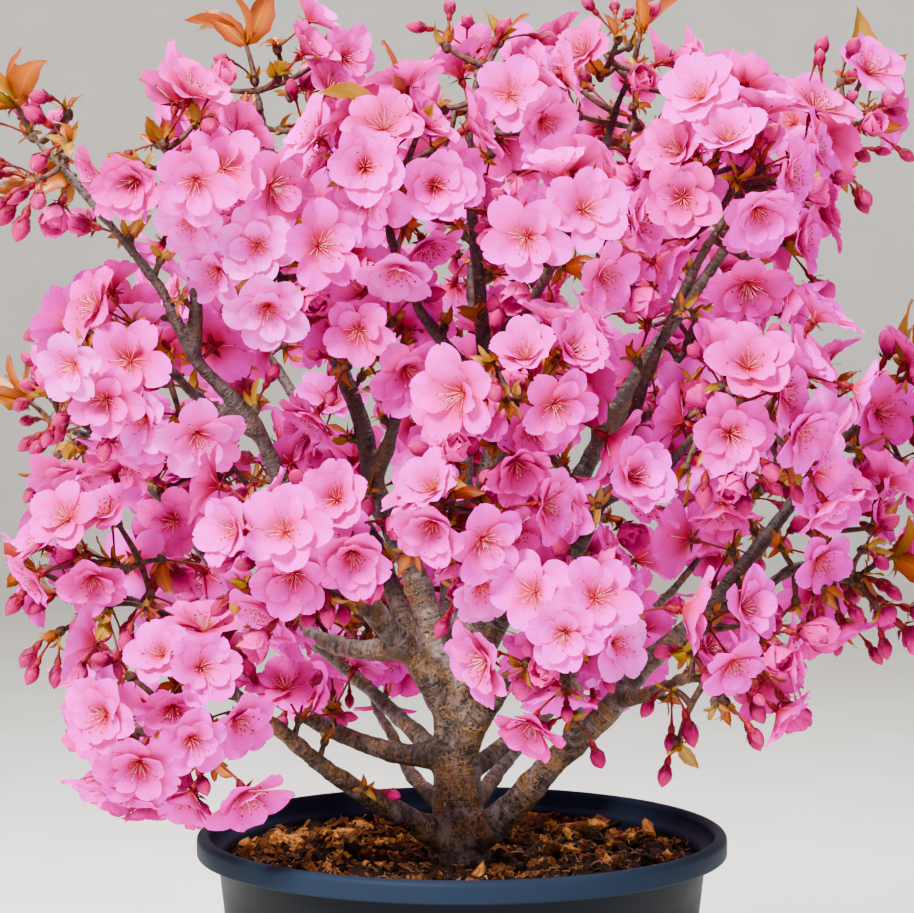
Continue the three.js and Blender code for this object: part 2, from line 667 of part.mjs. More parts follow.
// Limbs are made in order, and each is cut back from a slightly thicker copy of those before it.
const thickerCopies = [];
for (const [name, { points, radii, sides, firstWay }] of paths) {
  const whole = solidOf(tube(points, radii, sides, firstWay));
  const cut = thickerCopies.reduce((solid, copy) => solid.subtract(copy), whole);
  const clear = GAP / Math.cos(Math.PI / sides);
  thickerCopies.push(solidOf(tube(points, radii.map((radius) => radius + clear), sides)));
  tree.add(namedMesh(name, geometryOf(mainPiece(cut)), FINISHES.bark));
}

MASSES.forEach((spec, index) => {
  const shoots = new BlossomMass(spec, index, stems[index]).grow();
  const joined = shoots.reduce((solid, shoot) => solid.add(shoot));
  const cut = spec.leaves ? thickerCopies.reduce((solid, copy) => solid.subtract(copy), joined) : joined;
  tree.add(namedMesh(spec.name, geometryOf(mainPiece(cut)), FINISHES.blossom));
});

export default tree;
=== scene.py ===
import json
import math
from types import SimpleNamespace as Sizes

import bpy
import numpy as np
from mathutils import Matrix, Vector, noise

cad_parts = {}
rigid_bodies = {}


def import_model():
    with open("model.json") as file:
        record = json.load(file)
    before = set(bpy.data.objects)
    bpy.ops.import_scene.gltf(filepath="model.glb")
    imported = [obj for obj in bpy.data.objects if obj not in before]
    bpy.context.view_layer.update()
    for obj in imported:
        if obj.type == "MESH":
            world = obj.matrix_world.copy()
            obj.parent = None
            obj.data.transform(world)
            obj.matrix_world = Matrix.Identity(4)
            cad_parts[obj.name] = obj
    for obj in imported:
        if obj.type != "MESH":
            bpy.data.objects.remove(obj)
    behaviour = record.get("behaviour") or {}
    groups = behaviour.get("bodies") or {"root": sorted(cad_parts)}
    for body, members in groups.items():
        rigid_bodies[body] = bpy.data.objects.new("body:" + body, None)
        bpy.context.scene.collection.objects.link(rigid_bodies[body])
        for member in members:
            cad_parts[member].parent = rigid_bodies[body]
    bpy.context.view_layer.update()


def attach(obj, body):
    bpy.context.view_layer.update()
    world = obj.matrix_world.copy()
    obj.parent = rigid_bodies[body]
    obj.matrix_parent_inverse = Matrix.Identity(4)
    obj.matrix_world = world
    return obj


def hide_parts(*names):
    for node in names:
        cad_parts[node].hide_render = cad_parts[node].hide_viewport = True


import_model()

# Sizes in millimetres, as in the part's source. A pair is a least value and what a draw adds to it
MM = 0.001
UP = np.array([0.0, 0.0, 1.0])
DOWN = -UP
RIGHT = np.array([1.0, 0.0, 0.0])
CROWN_CENTRE = np.array([0.0, 0.0, 430.0])
FULL_TURN = 2 * math.pi
GOLDEN_SHARE = 0.381966
EVEN_STEPS = (0.7548776662, 0.569840291)
STEEP = 0.9
TINY = 1e-9
GAP = 0.3
OVERHANG = 14

POT = Sizes(height=225, foot=105, foot_edge=2, wall_top=129, wall=2.4, base=3, segments=176)
POT_INSIDE = Sizes(ease=1, draft=6, drop=50)
BAND = Sizes(radius=140, height=11.5, lip=7, edge=1.4, ledge=9, fall=1, draft=0.4, roll=14)
SOIL = Sizes(middle=206, middle_radius=26, edge=211, rings=64, spokes=200)
SKIRT = Sizes(gap=0.6, depth=30, share=0.97)
MOUND = Sizes(height=3.0, reach=30)
RELIEF = Sizes(height=8, quiet=30, calm=(0.3, 0.7), sunk=1.0, pit=-1.6)
TRUNK = Sizes(foot=(-1, 0, 206.3), fork=(-4, 1, 294), radius=13.4, fork_radius=11.4)
FLARE = Sizes(radius=5, height=16)
TRUNK_RINGS = (0, 0.1, 0.25, 0.5, 0.75, 0.93, 1)
LIMB = Sizes(step=42, fewest=3, samples=201, bow=0.5, crook=0.009, collar=0.22, collar_reach=14)
STEM = Sizes(foot=5.2, share=0.95, bow=0.45, steps=3, beyond=0.15)
TWIG = Sizes(foot=2.0, end=1.3, stem_end=2.0, shortest=8, longest=84, bend=0.16, rings=6, sides=6)
TWIG_STARTS = (0.2, 0.36, 0.5, 0.64, 0.78, 0.92)
TWIG_FORKS = (0.5, 0.8)
STALK = Sizes(leave=0.55, meet=0.4, radii=(0.85, 0.62, 0.6, 0.66, 0.95), sides=5)
UMBEL = Sizes(tries=260, apart=19, clear=3, shy=6, most=5, fewer=0.45, stray=0.08, spread=1.2)
UMBEL_PARTS = Sizes(splay=(0.6, 0.6), shut=0.12, opening=0.42, scales=6, leafy=0.62, leaves=2, leaf=0.52)
UMBEL_PLACE = Sizes(nearest=0.26, scatter=0.48, outward=0.9, behind=0.6)
SCALES = Sizes(stray=0.3, lean=(0.5, 0.9), size=(0.55, 0.75))
LEAVES = Sizes(lean=(0.25, 0.8), size=(0.6, 0.6))
SPUR = Sizes(first=0.4, step=26, length=6, vary=(0.6, 0.8), end=8, along=0.5, rise=0.35, seed=100)
SPUR_PARTS = Sizes(most=3, opened=0.55, scales=7, knuckle=0.9)
BARK = Sizes(step=5, sides=12, slim=0.3, swell=0.2, voxel=1.68, ease=3, seam=4.0, relief=0.46)
MELT = Sizes(rounds=11, least=3.0, span=5.0, factor=0.5)
KNOT = Sizes(step=21, rise=0.15, width=3.2, rises=(0.4, 1.2), steps=(0.55, 0.9))

# Kinds of flower: how each stands on its stalk, and the room that it takes
BLOSSOM = Sizes(
    pedicel=27, length=(0.8, 0.4), size=(0.84, 0.26), gather=0.32, droop=(0.28, 0), follow=0,
    back=10, apart=25, clear=8, cover=16.5, spreads=True,
)
GLOBE = Sizes(
    pedicel=24, length=(0.8, 0.4), size=(0.85, 0.3), gather=0.4, droop=(0.2, 0.6), follow=0.5,
    back=9, apart=17, clear=6, cover=11, spreads=False,
)
BUD = Sizes(
    pedicel=21, length=(0.7, 0.6), size=(0.75, 0.4), gather=0.35, droop=(0.3, 0.7), follow=0.5,
    back=7, apart=11, clear=4, cover=6, spreads=False,
)

# Leaf tufts at the ends of masses: number of leaves and steepness
TUFT = Sizes(out=0.46, size=1.0, scales=7)
TUFTS = {
    "blossom_top_left": (5, 0.6),
    "blossom_left_tip": (7, 0.6),
    "blossom_left": (6, 0.6),
    "blossom_right_tip": (4, 0.6),
    "blossom_far_right": (6, 2.6),
    "blossom_top_right": (3, 0.6),
    "blossom_centre_left": (2, 0.6),
    "blossom_left_low": (3, 0.6),
    "blossom_right_low": (3, 0.6),
    "blossom_back_top": (4, 0.6),
    "blossom_back_left": (4, 0.6),
    "blossom_back_far_right": (4, 0.6),
}

# Numbers of the seeded draws, one for each thing that varies
DRAW = Sizes(
    crook=1, place_height=2, place_turn=3, place_reach=4, spur_turn=1, spur_length=2, spur_step=3,
    leafy=6, state=7, count=20, turn=21, stray=22, knuckle=23, spread=26, length=30,
    knot_start=41, knot_rise=42, knot_step=43, spin=50, size=60, kind=70, nod=75, tint=80, shut=90,
    scale_turn=100, scale_lean=110, scale_size=120, scale_tint=130,
    leaf_turn=140, leaf_lean=141, leaf_size=150, leaf_spin=160, leaf_tint=170,
    petal=200, stamen=210, bud=220, chip=230, chip_corner=231, crumb=234, crumb_point=235,
    scatter=240, fibre=250, fibre_lift=251,
)


def limb(name, parent, at, heading, rise, tip, radius):
    tip = np.array(tip, float)
    return Sizes(name=name, parent=parent, at=at, heading=heading, rise=rise, tip=tip, radius=radius)


def mass(name, carrier, centre, reach, opened, leaves=None):
    centre = np.array(centre, float)
    return Sizes(name=name, carrier=carrier, centre=centre, reach=reach, opened=opened, leaves=leaves)


# Limbs: parent, place on it, heading and rise at the start, tip, radii at foot and tip
LIMBS = [
    limb("leader_left", "trunk", 0.93, 150, 67, (-92, -3, 556), (8.8, 3.4)),
    limb("leader_left_front", "trunk", 0.8, 217, 50, (-172, -108, 541), (7.8, 2.8)),
    limb("leader_centre", "trunk", 0.95, 310, 68, (4, -48, 556), (7.6, 3.6)),
    limb("leader_right_back", "trunk", 0.88, 35, 59, (172, 92, 566), (7.4, 3.6)),
    limb("leader_right_front", "trunk", 0.6, 318, 50, (104, -110, 500), (7, 3)),
    limb("bough_low_right", "trunk", 0.15, 323, 38, (205, 25, 432), (9, 3.8)),
    limb("bough_low_left", "trunk", 0.12, 218, 30, (-112, -88, 308), (7.2, 4.2)),
    limb("bough_left", "trunk", 0.6, 150, -6, (-150, 4, 332), (6.4, 3.8)),
    limb("leader_back_left", "trunk", 0.76, 122, 48, (-96, 128, 452), (6.8, 3.6)),
    limb("leader_back", "trunk", 0.84, 80, 62, (6, 140, 508), (6.6, 3.6)),
    limb("bough_left_upper", "leader_left_front", 0.15, 140, -14, (-180, 62, 414), (5.6, 3.4)),
    limb("bough_far_left", "leader_left_front", 0.6, 192, 22, (-140, -98, 466), (4, 3)),
    limb("bough_top_left", "leader_left_front", 0.76, 300, 62, (-136, -96, 530), (3.8, 3)),
    limb("bough_front_left", "leader_left_front", 0.24, 250, 12, (-64, -112, 362), (4.6, 3.2)),
    limb("bough_upper_left", "leader_left", 0.7, 235, 30, (-88, -46, 508), (4.2, 3)),
    limb("bough_inner_left", "leader_left", 0.46, 318, 52, (-34, -34, 462), (4.4, 3)),
    limb("bough_centre_left", "leader_centre", 0.64, 208, 36, (-30, -80, 518), (4.2, 3)),
    limb("bough_front_upper", "leader_centre", 0.45, 282, 22, (26, -110, 438), (4.4, 3)),
    limb("bough_upper_right", "leader_centre", 0.72, 322, 35, (36, -84, 506), (4, 3)),
    limb("bough_front", "leader_centre", 0.22, 268, 18, (-4, -116, 384), (4.6, 3.2)),
    limb("bough_top_right", "leader_right_back", 0.5, 252, 76, (76, 30, 574), (4.6, 3.2)),
    limb("bough_back_upper", "leader_right_back", 0.5, 60, 30, (118, 136, 466), (4.6, 3.2)),
    limb("bough_right", "leader_right_front", 0.62, 342, 20, (110, -114, 434), (4.4, 3.2)),
    limb("bough_front_low", "bough_low_right", 0.3, 275, 38, (54, -110, 320), (4.8, 3.2)),
    limb("bough_low_right_front", "bough_low_right", 0.42, 305, 8, (106, -84, 314), (4.6, 3.2)),
    limb("bough_right_low", "bough_low_right", 0.64, 345, 4, (166, -24, 362), (4.6, 3.2)),
]

# Masses of blossom: carrier, centre, reach, share of blossoms that are open, and where one leaves the trunk
MASSES = [
    mass("blossom_top_left", "leader_left", (-104, -6, 612), 58, 0.87),
    mass("blossom_left_tip", "leader_left_front", (-204, -98, 578), 48, 0.0),
    mass("blossom_top", "leader_centre", (8, -22, 612), 62, 0.87),
    mass("blossom_right_tip", "leader_right_back", (212, 98, 608), 58, 0.65),
    mass("blossom_upper_right", "leader_right_front", (138, -102, 560), 68, 0.87),
    mass("blossom_far_right", "bough_low_right", (236, 56, 440), 58, 0.6),
    mass("blossom_low_left", "bough_low_left", (-152, -112, 300), 56, 0.7),
    mass("blossom_left_low", "bough_left", (-192, -36, 358), 60, 0.55),
    mass("blossom_back_left", "leader_back_left", (-126, 162, 496), 62, 0.87),
    mass("blossom_back_top", "leader_back", (8, 176, 556), 62, 0.87),
    mass("blossom_left", "bough_left_upper", (-216, 58, 436), 58, 0.45),
    mass("blossom_far_left", "bough_far_left", (-174, -100, 474), 58, 0.8),
    mass("blossom_left_crest", "bough_top_left", (-140, -98, 574), 54, 0.87),
    mass("blossom_front_left", "bough_front_left", (-78, -150, 380), 58, 0.87),
    mass("blossom_upper_left", "bough_upper_left", (-100, -80, 524), 54, 0.87),
    mass("blossom_inner_left", "bough_inner_left", (-50, -70, 486), 50, 0.87),
    mass("blossom_centre_left", "bough_centre_left", (-36, -94, 566), 56, 0.87),
    mass("blossom_front_upper", "bough_front_upper", (32, -148, 456), 58, 0.87),
    mass("blossom_centre_right", "bough_upper_right", (52, -108, 534), 56, 0.87),
    mass("blossom_front", "bough_front", (-6, -156, 398), 52, 0.87),
    mass("blossom_top_right", "bough_top_right", (88, 28, 620), 62, 0.87),
    mass("blossom_back_right", "bough_back_upper", (142, 172, 496), 62, 0.87),
    mass("blossom_right", "bough_right", (138, -130, 446), 66, 0.87),
    mass("blossom_front_low", "bough_front_low", (52, -146, 340), 54, 0.87),
    mass("blossom_right_front", "bough_low_right_front", (128, -112, 322), 56, 0.65),
    mass("blossom_right_low", "bough_right_low", (198, -26, 364), 56, 0.55),
    mass("blossom_back", "trunk", (4, 196, 438), 62, 0.87, (0.7, 96, 34)),
    mass("blossom_back_far_left", "trunk", (-146, 138, 388), 62, 0.87, (0.55, 132, 22)),
    mass("blossom_back_far_right", "trunk", (160, 136, 394), 62, 0.87, (0.5, 44, 24)),
    mass("blossom_back_low_right", "trunk", (78, 176, 320), 60, 0.87, (0.34, 66, 14)),
    mass("blossom_back_low_left", "trunk", (-62, 176, 316), 60, 0.87, (0.3, 114, 14)),
]
MASS_NAMES = [spec.name for spec in MASSES]
MASS_CENTRES = np.array([spec.centre for spec in MASSES])
MASS_REACHES = np.array([spec.reach for spec in MASSES], float)


# Growth rule of the part's source
def chance(a, b, c):
    wave = math.sin(a * 12.9898 + b * 78.233 + c * 37.719 + 4.1) * 43758.5453
    return wave - math.floor(wave)


def spanned(span, share):
    return span[0] + span[1] * share


def drawn(span, a, b, c):
    return spanned(span, chance(a, b, c))


def draws(a, b, first, count):
    return [chance(a, b, first + c) for c in range(count)]


def unit(vector):
    return vector / np.linalg.norm(vector)


def direction(heading, rise):
    heading, rise = math.radians(heading), math.radians(rise)
    level = math.cos(rise)
    return np.array([level * math.cos(heading), level * math.sin(heading), math.sin(rise)])


def across(axis):
    side = unit(np.cross(UP if abs(axis[2]) < STEEP else RIGHT, axis))
    return side, np.cross(axis, side)


def around(side, other, angle):
    return side * math.cos(angle) + other * math.sin(angle)


def bezier(start, middle, end, shares):
    share = np.asarray(shares, float)[:, None]
    return (1 - share) ** 2 * start + 2 * share * (1 - share) * middle + share**2 * end


def lengths_along(points):
    return np.concatenate([[0.0], np.cumsum(np.linalg.norm(np.diff(points, axis=0), axis=1))])


def arc(start, heading, tip, index):
    span = np.linalg.norm(tip - start)
    middle = start + heading * LIMB.bow * span
    length = lengths_along(bezier(start, middle, tip, np.linspace(0, 1, LIMB.samples)))[-1]
    count = max(LIMB.fewest, math.ceil(length / LIMB.step))
    side, other = across(unit(tip - start))
    points = bezier(start, middle, tip, np.arange(count + 1) / count)
    for i in range(1, count):
        turn = FULL_TURN * chance(index, i, DRAW.crook)
        points[i] += LIMB.crook * span * around(side, other, turn)
    return points


def taper(points, foot, tip):
    even = np.linspace(foot, tip, len(points))
    return even * (1 + LIMB.collar * np.exp(-lengths_along(points) / LIMB.collar_reach))


def point_at(points, share):
    place = share * (len(points) - 1)
    i = min(int(place), len(points) - 2)
    return points[i] + (points[i + 1] - points[i]) * (place - i)


def trunk_path():
    foot, fork = np.array(TRUNK.foot, float), np.array(TRUNK.fork, float)
    shares = np.array(TRUNK_RINGS)
    flare = FLARE.radius * np.exp(-shares * (fork[2] - foot[2]) / FLARE.height)
    radii = TRUNK.radius + (TRUNK.fork_radius - TRUNK.radius) * shares + flare
    return foot + shares[:, None] * (fork - foot), radii


def limb_paths():
    paths = {"trunk": trunk_path()}
    for index, spec in enumerate(LIMBS):
        start = point_at(paths[spec.parent][0], spec.at)
        points = arc(start, direction(spec.heading, spec.rise), spec.tip, index)
        paths[spec.name] = (points, taper(points, *spec.radius))
    return paths


def stem_path(spec, index):
    end = spec.centre + STEM.beyond * spec.reach * unit(spec.centre - CROWN_CENTRE)
    if spec.leaves:
        at, heading, rise = spec.leaves
        start = point_at(PATHS[spec.carrier][0], at)
        points = arc(start, direction(heading, rise), end, len(LIMBS) + index)
        return points, taper(points, STEM.foot, TWIG.stem_end)
    carrier, radii = PATHS[spec.carrier]
    way = unit(carrier[-1] - carrier[-2])
    start = carrier[-1] + GAP * way
    middle = start + STEM.bow * np.linalg.norm(end - start) * way
    points = bezier(start, middle, end, np.linspace(0, 1, STEM.steps + 1))
    return points, np.linspace(STEM.share * radii[-1], TWIG.stem_end, len(points))


PATHS = limb_paths()
STEMS = [stem_path(spec, index) for index, spec in enumerate(MASSES)]


# Limbs as smooth rows of points with swollen knots
def smooth_path(points, radii, step):
    padded = np.vstack([2 * points[0] - points[1], points, 2 * points[-1] - points[-2]])
    rows, widths = [], []
    for i in range(len(points) - 1):
        a, b, c, d = padded[i : i + 4]
        count = max(2, round(np.linalg.norm(c - b) / step))
        t = (np.arange(count) / count)[:, None]
        bend = (2 * a - 5 * b + 4 * c - d) * t**2 + (3 * b - a - 3 * c + d) * t**3
        rows.append(0.5 * (2 * b + (c - a) * t + bend))
        widths.append(radii[i] + (radii[i + 1] - radii[i]) * t[:, 0])
    return np.vstack(rows + [points[-1:]]), np.concatenate(widths + [radii[-1:]])


def knotted(points, radii, index):
    run = lengths_along(points)
    swelling = np.ones(len(points))
    place, count = KNOT.step * chance(index, 0, DRAW.knot_start), 0
    while place < run[-1]:
        rise = KNOT.rise * drawn(KNOT.rises, index, count, DRAW.knot_rise)
        swelling += rise * np.exp(-(((run - place) / KNOT.width) ** 2))
        place += KNOT.step * drawn(KNOT.steps, index, count, DRAW.knot_step)
        count += 1
    return radii * swelling


def frames_along(points):
    tangents = np.gradient(points, axis=0)
    tangents /= np.linalg.norm(tangents, axis=1)[:, None]
    sides = np.empty_like(tangents)
    sides[0] = across(tangents[0])[0]
    for i in range(1, len(points)):
        sides[i] = unit(sides[i - 1] - tangents[i] * np.dot(sides[i - 1], tangents[i]))
    return tangents, sides, np.cross(tangents, sides)


WOOD = []
for index, (points, radii) in enumerate(list(PATHS.values()) + STEMS):
    points, radii = smooth_path(points, radii, BARK.step)
    if index:
        slim = 1 - BARK.slim * np.linspace(0, 1, len(radii))
        radii = knotted(points, radii * slim, index)
    WOOD.append((points, radii))

ROD_STARTS = np.vstack([points[:-1] for points, _ in WOOD])
ROD_ENDS = np.vstack([points[1:] for points, _ in WOOD])
ROD_RADII = np.concatenate([np.maximum(radii[:-1], radii[1:]) for _, radii in WOOD])


def clear_of_wood(point, margin):
    line = ROD_ENDS - ROD_STARTS
    share = np.einsum("ij,ij->i", point - ROD_STARTS, line) / np.einsum("ij,ij->i", line, line)
    nearest = ROD_STARTS + np.clip(share, 0, 1)[:, None] * line
    return np.all(np.linalg.norm(nearest - point, axis=1) > ROD_RADII + margin)


def in_own_space(point, index, slack=0.0):
    away = np.linalg.norm(MASS_CENTRES - point, axis=1)
    if away[index] > MASS_REACHES[index] + OVERHANG:
        return False
    power = away**2 - MASS_REACHES**2
    between = np.linalg.norm(MASS_CENTRES - MASS_CENTRES[index], axis=1)
    between[index] = 1
    lead = (power - power[index]) / (2 * between)
    lead[index] = 0
    return bool(np.all(lead > -slack - TINY))


def umbel_place(spec, index, k):
    height = 1 - 2 * ((EVEN_STEPS[0] * (k + 1) + chance(index, 0, DRAW.place_height)) % 1)
    angle = FULL_TURN * ((EVEN_STEPS[1] * (k + 1) + chance(index, 0, DRAW.place_turn)) % 1)
    level = math.sqrt(1 - height * height)
    way = np.array([level * math.cos(angle), level * math.sin(angle), height])
    share = UMBEL_PLACE.nearest + UMBEL_PLACE.scatter * chance(index, k, DRAW.place_reach)
    place = spec.centre + spec.reach * share * way
    outward = unit(place - CROWN_CENTRE)
    return place, unit(way + UMBEL_PLACE.outward * outward)


# The photo's camera
EYE = np.array([-2.6, -1370.0, 474.0])
# Stretches of limb that show between the blossoms in the photo, as shares of each limb's length
SHOWN = [
    ("trunk", 0.0, 0.85),
    ("leader_left", 0.06, 0.3),
    ("leader_left", 0.54, 0.66),
    ("bough_inner_left", 0.1, 0.6),
    ("leader_left_front", 0.52, 1.0),
    ("leader_centre", 0.76, 0.88),
    ("bough_centre_left", 0.35, 0.75),
    ("leader_right_front", 0.8, 1.0),
    ("bough_low_right", 0.0, 0.48),
    ("bough_low_right", 0.72, 0.78),
    ("bough_low_left", 0.0, 0.8),
    ("bough_left", 0.0, 0.42),
    ("bough_left_upper", 0.0, 0.25),
]
# Places where the crown is open in the photo: across, height and radius in the plane of the trunk
OPENINGS = [
    (-124, 649, 22),
    (-103, 620, 13),
    (-35, 652, 18),
    (-12, 658, 14),
    (24, 670, 16),
    (48, 668, 12),
    (67, 662, 12),
    (93, 658, 12),
    (185, 648, 17),
    (222, 565, 19),
    (225, 523, 25),
    (-211, 646, 24),
    (-184, 598, 12),
    (-231, 571, 16),
    (-210, 525, 10),
    (-241, 505, 18),
    (-241, 471, 18),
    (-231, 437, 19),
    (-206, 437, 10),
    (-238, 325, 14),
    (-224, 289, 14),
    (165, 376, 13),
    (162, 408, 9),
    (-93, 460, 10),
    (126, 273, 24),
]
OPENING_ROWS = np.array(OPENINGS, float)
OPENING_MARGIN = 0.8

# Groups of blossom that stand out in the photo: mass, spur, heading and rise, number, share open
GROUPS = [
    ("blossom_front_upper", (25, -138, 452), 270, 5, 4, 1.0),
    ("blossom_front_upper", (64, -138, 405), 285, -5, 3, 1.0),
    ("blossom_front", (-4, -150, 380), 268, -5, 3, 1.0),
    ("blossom_low_left", (-119, -118, 280), 275, -25, 4, 1.0),
    ("blossom_right_front", (108, -122, 327), 285, 0, 3, 1.0),
    ("blossom_right_front", (104, -122, 289), 300, -50, 4, 0.0),
    ("blossom_top_left", (-76, 6, 630), 270, 40, 3, 1.0),
    ("blossom_left_crest", (-148, -92, 594), 250, 40, 3, 1.0),
    ("blossom_far_left", (-137, -110, 447), 265, 0, 3, 1.0),
    ("blossom_left_low", (-190, -58, 375), 240, 0, 3, 1.0),
]


def shown_points():
    names = list(PATHS)
    found = []
    for name, low, high in SHOWN:
        points, _ = WOOD[names.index(name)]
        share = lengths_along(points) / lengths_along(points)[-1]
        found.append(points[(share >= low) & (share <= high)])
    return np.vstack(found)


SHOWN_RAYS = shown_points() - EYE
SHOWN_FAR = np.linalg.norm(SHOWN_RAYS, axis=1)
SHOWN_RAYS /= SHOWN_FAR[:, None]


def hides_limb(centre, reach):
    away = centre - EYE
    along = SHOWN_RAYS @ away
    off = np.linalg.norm(away - along[:, None] * SHOWN_RAYS, axis=1)
    return bool(np.any((along < SHOWN_FAR) & (off < reach)))


def fills_opening(centre, reach):
    away = centre - EYE
    seen = EYE - away * EYE[1] / away[1]
    off = np.hypot(seen[0] - OPENING_ROWS[:, 0], seen[2] - OPENING_ROWS[:, 1])
    return bool(np.any(off < OPENING_ROWS[:, 2] + reach))


# Blossom, buds, leaves, scales and stalks of the whole crown, gathered as they grow
class Crown:
    def __init__(self):
        self.blossoms, self.globes, self.buds = [], [], []
        self.leaves, self.scales, self.knuckles = [], [], []
        self.stalks, self.twigs = [], []
        self.taken = np.empty((0, 3))
        self.taken_reach = np.empty(0)

    def room(self, centre, reach):
        if not len(self.taken):
            return True
        away = np.linalg.norm(self.taken - centre, axis=1)
        return bool(np.all(away > 0.5 * (self.taken_reach + reach)))

    def take(self, centre, reach):
        self.taken = np.vstack([self.taken, centre])
        self.taken_reach = np.append(self.taken_reach, reach)

    def fits(self, centre, reach, owner, margin, cover):
        if not self.room(centre, reach) or not clear_of_wood(centre, margin):
            return False
        if hides_limb(centre, cover):
            return False
        if cover > BUD.cover and fills_opening(centre, OPENING_MARGIN * cover):
            return False
        return owner is None or in_own_space(centre, owner, UMBEL.shy)

    def add_stalk(self, spur, stalk, end, gaze):
        span = np.linalg.norm(end - spur)
        middle = 0.5 * (spur + STALK.leave * span * stalk) + 0.5 * (end - STALK.meet * span * gaze)
        shares = np.linspace(0, 1, len(STALK.radii))
        self.stalks.append((bezier(spur, middle, end, shares), STALK.radii))

    def add_flower(self, kind, flowers, seed, k, j, spur, stalk, facing, owner):
        length = drawn(kind.length, seed, k, DRAW.length + j)
        size = drawn(kind.size, seed, k, DRAW.size + j)
        nod = drawn(kind.droop, seed, k, DRAW.nod + j)
        gaze = unit(stalk + kind.gather * facing + nod * DOWN)
        way = (1 - kind.follow) * stalk + kind.follow * gaze
        centre = spur + way * kind.pedicel * length
        spread, swell = (size, 1) if kind.spreads else (1, size)
        if not self.fits(centre, kind.apart * spread, owner, kind.clear, kind.cover * spread):
            return False
        self.take(centre, kind.apart * spread)
        end = centre - kind.back * swell * gaze
        spin = FULL_TURN * chance(seed, k, DRAW.spin + j)
        pick, tint = chance(seed, k, DRAW.kind + j), chance(seed, k, DRAW.tint)
        flowers.append((end, gaze, spin, size, pick, tint))
        self.add_stalk(spur, stalk, end, gaze)
        return True

    def add_scales(self, seed, k, spur, facing, count):
        side, other = across(facing)
        for j in range(count):
            angle = FULL_TURN * (j / count + SCALES.stray * chance(seed, k, DRAW.scale_turn + j))
            lean = drawn(SCALES.lean, seed, k, DRAW.scale_lean + j)
            way = unit(facing + lean * around(side, other, angle))
            size = drawn(SCALES.size, seed, k, DRAW.scale_size + j)
            self.scales.append((spur, way, angle, size, chance(seed, k, DRAW.scale_tint + j)))

    def add_leaves(self, seed, k, spur, facing, count, size):
        side, other = across(facing)
        for j in range(count):
            angle = FULL_TURN * (j * GOLDEN_SHARE + chance(seed, k, DRAW.leaf_turn))
            lean = drawn(LEAVES.lean, seed, k, DRAW.leaf_lean + j)
            way = unit(facing + lean * around(side, other, angle))
            big = size * drawn(LEAVES.size, seed, k, DRAW.leaf_size + j)
            spin = FULL_TURN * chance(seed, k, DRAW.leaf_spin + j)
            self.leaves.append((spur, way, spin, big, chance(seed, k, DRAW.leaf_tint + j)))

    def add_umbel(self, seed, k, spur, facing, opened, most, owner):
        side, other = across(facing)
        count = most - int(chance(seed, k, DRAW.count) < UMBEL.fewer)
        turn = chance(seed, k, DRAW.turn)
        grown = 0
        for j in range(count):
            angle = FULL_TURN * (turn + j / count + UMBEL.stray * chance(seed, k, DRAW.stray + j))
            spread = UMBEL.spread * drawn(UMBEL_PARTS.splay, seed, k, DRAW.spread + j)
            stalk = unit(facing + spread * around(side, other, angle))
            place = (seed, k, j, spur, stalk, facing, owner)
            state = chance(seed, k, DRAW.state + j)
            done = False
            if state < opened:
                done = self.add_flower(BLOSSOM, self.blossoms, *place)
                state = opened + (1 - opened) * chance(seed, k, DRAW.shut + j) / UMBEL_PARTS.shut
            if not done and state < opened + UMBEL_PARTS.opening * (1 - opened):
                done = self.add_flower(GLOBE, self.globes, *place)
            elif not done and state < 1:
                done = self.add_flower(BUD, self.buds, *place)
            grown += done
        if not grown:
            return False
        self.knuckles.append((spur, facing, 0.0, 1.0, chance(seed, k, DRAW.knuckle)))
        self.add_scales(seed, k, spur, facing, UMBEL_PARTS.scales)
        if chance(seed, k, DRAW.leafy) < UMBEL_PARTS.leafy:
            self.add_leaves(seed, k, spur, facing, UMBEL_PARTS.leaves, UMBEL_PARTS.leaf)
        return True

    def add_twig(self, start, spur, bow):
        middle = 0.5 * (start + spur) - TWIG.bend * np.linalg.norm(spur - start) * bow
        points = bezier(start, middle, spur, np.linspace(0, 1, TWIG.rings))
        self.twigs.append((points, np.linspace(TWIG.foot, TWIG.end, TWIG.rings)))
        return list(bezier(start, middle, spur, TWIG_FORKS))

    def add_tuft(self, spec, index, start):
        count, rise = TUFTS[spec.name]
        outward = unit(spec.centre - CROWN_CENTRE)
        way = unit(outward + rise * UP)
        tip = spec.centre + TUFT.out * spec.reach * way
        self.add_twig(start, tip, outward)
        self.add_leaves(index, UMBEL.tries + 1, tip, way, count, TUFT.size)
        self.add_scales(index, UMBEL.tries + 1, tip, outward, TUFT.scales)

    def grow_mass(self, index):
        spec = MASSES[index]
        points, _ = STEMS[index]
        end, way = points[-1], unit(points[-1] - points[-2])
        starts = [point_at(points, share) for share in TWIG_STARTS]
        spurs = [end]

        def nearest_start(spur):
            return min(starts, key=lambda point: np.linalg.norm(point - spur))

        def branch(k, start, spur, facing, opened, most):
            if self.add_umbel(index, k, spur, facing, opened, most, index):
                starts.extend(self.add_twig(start, spur, facing))
                spurs.append(spur)

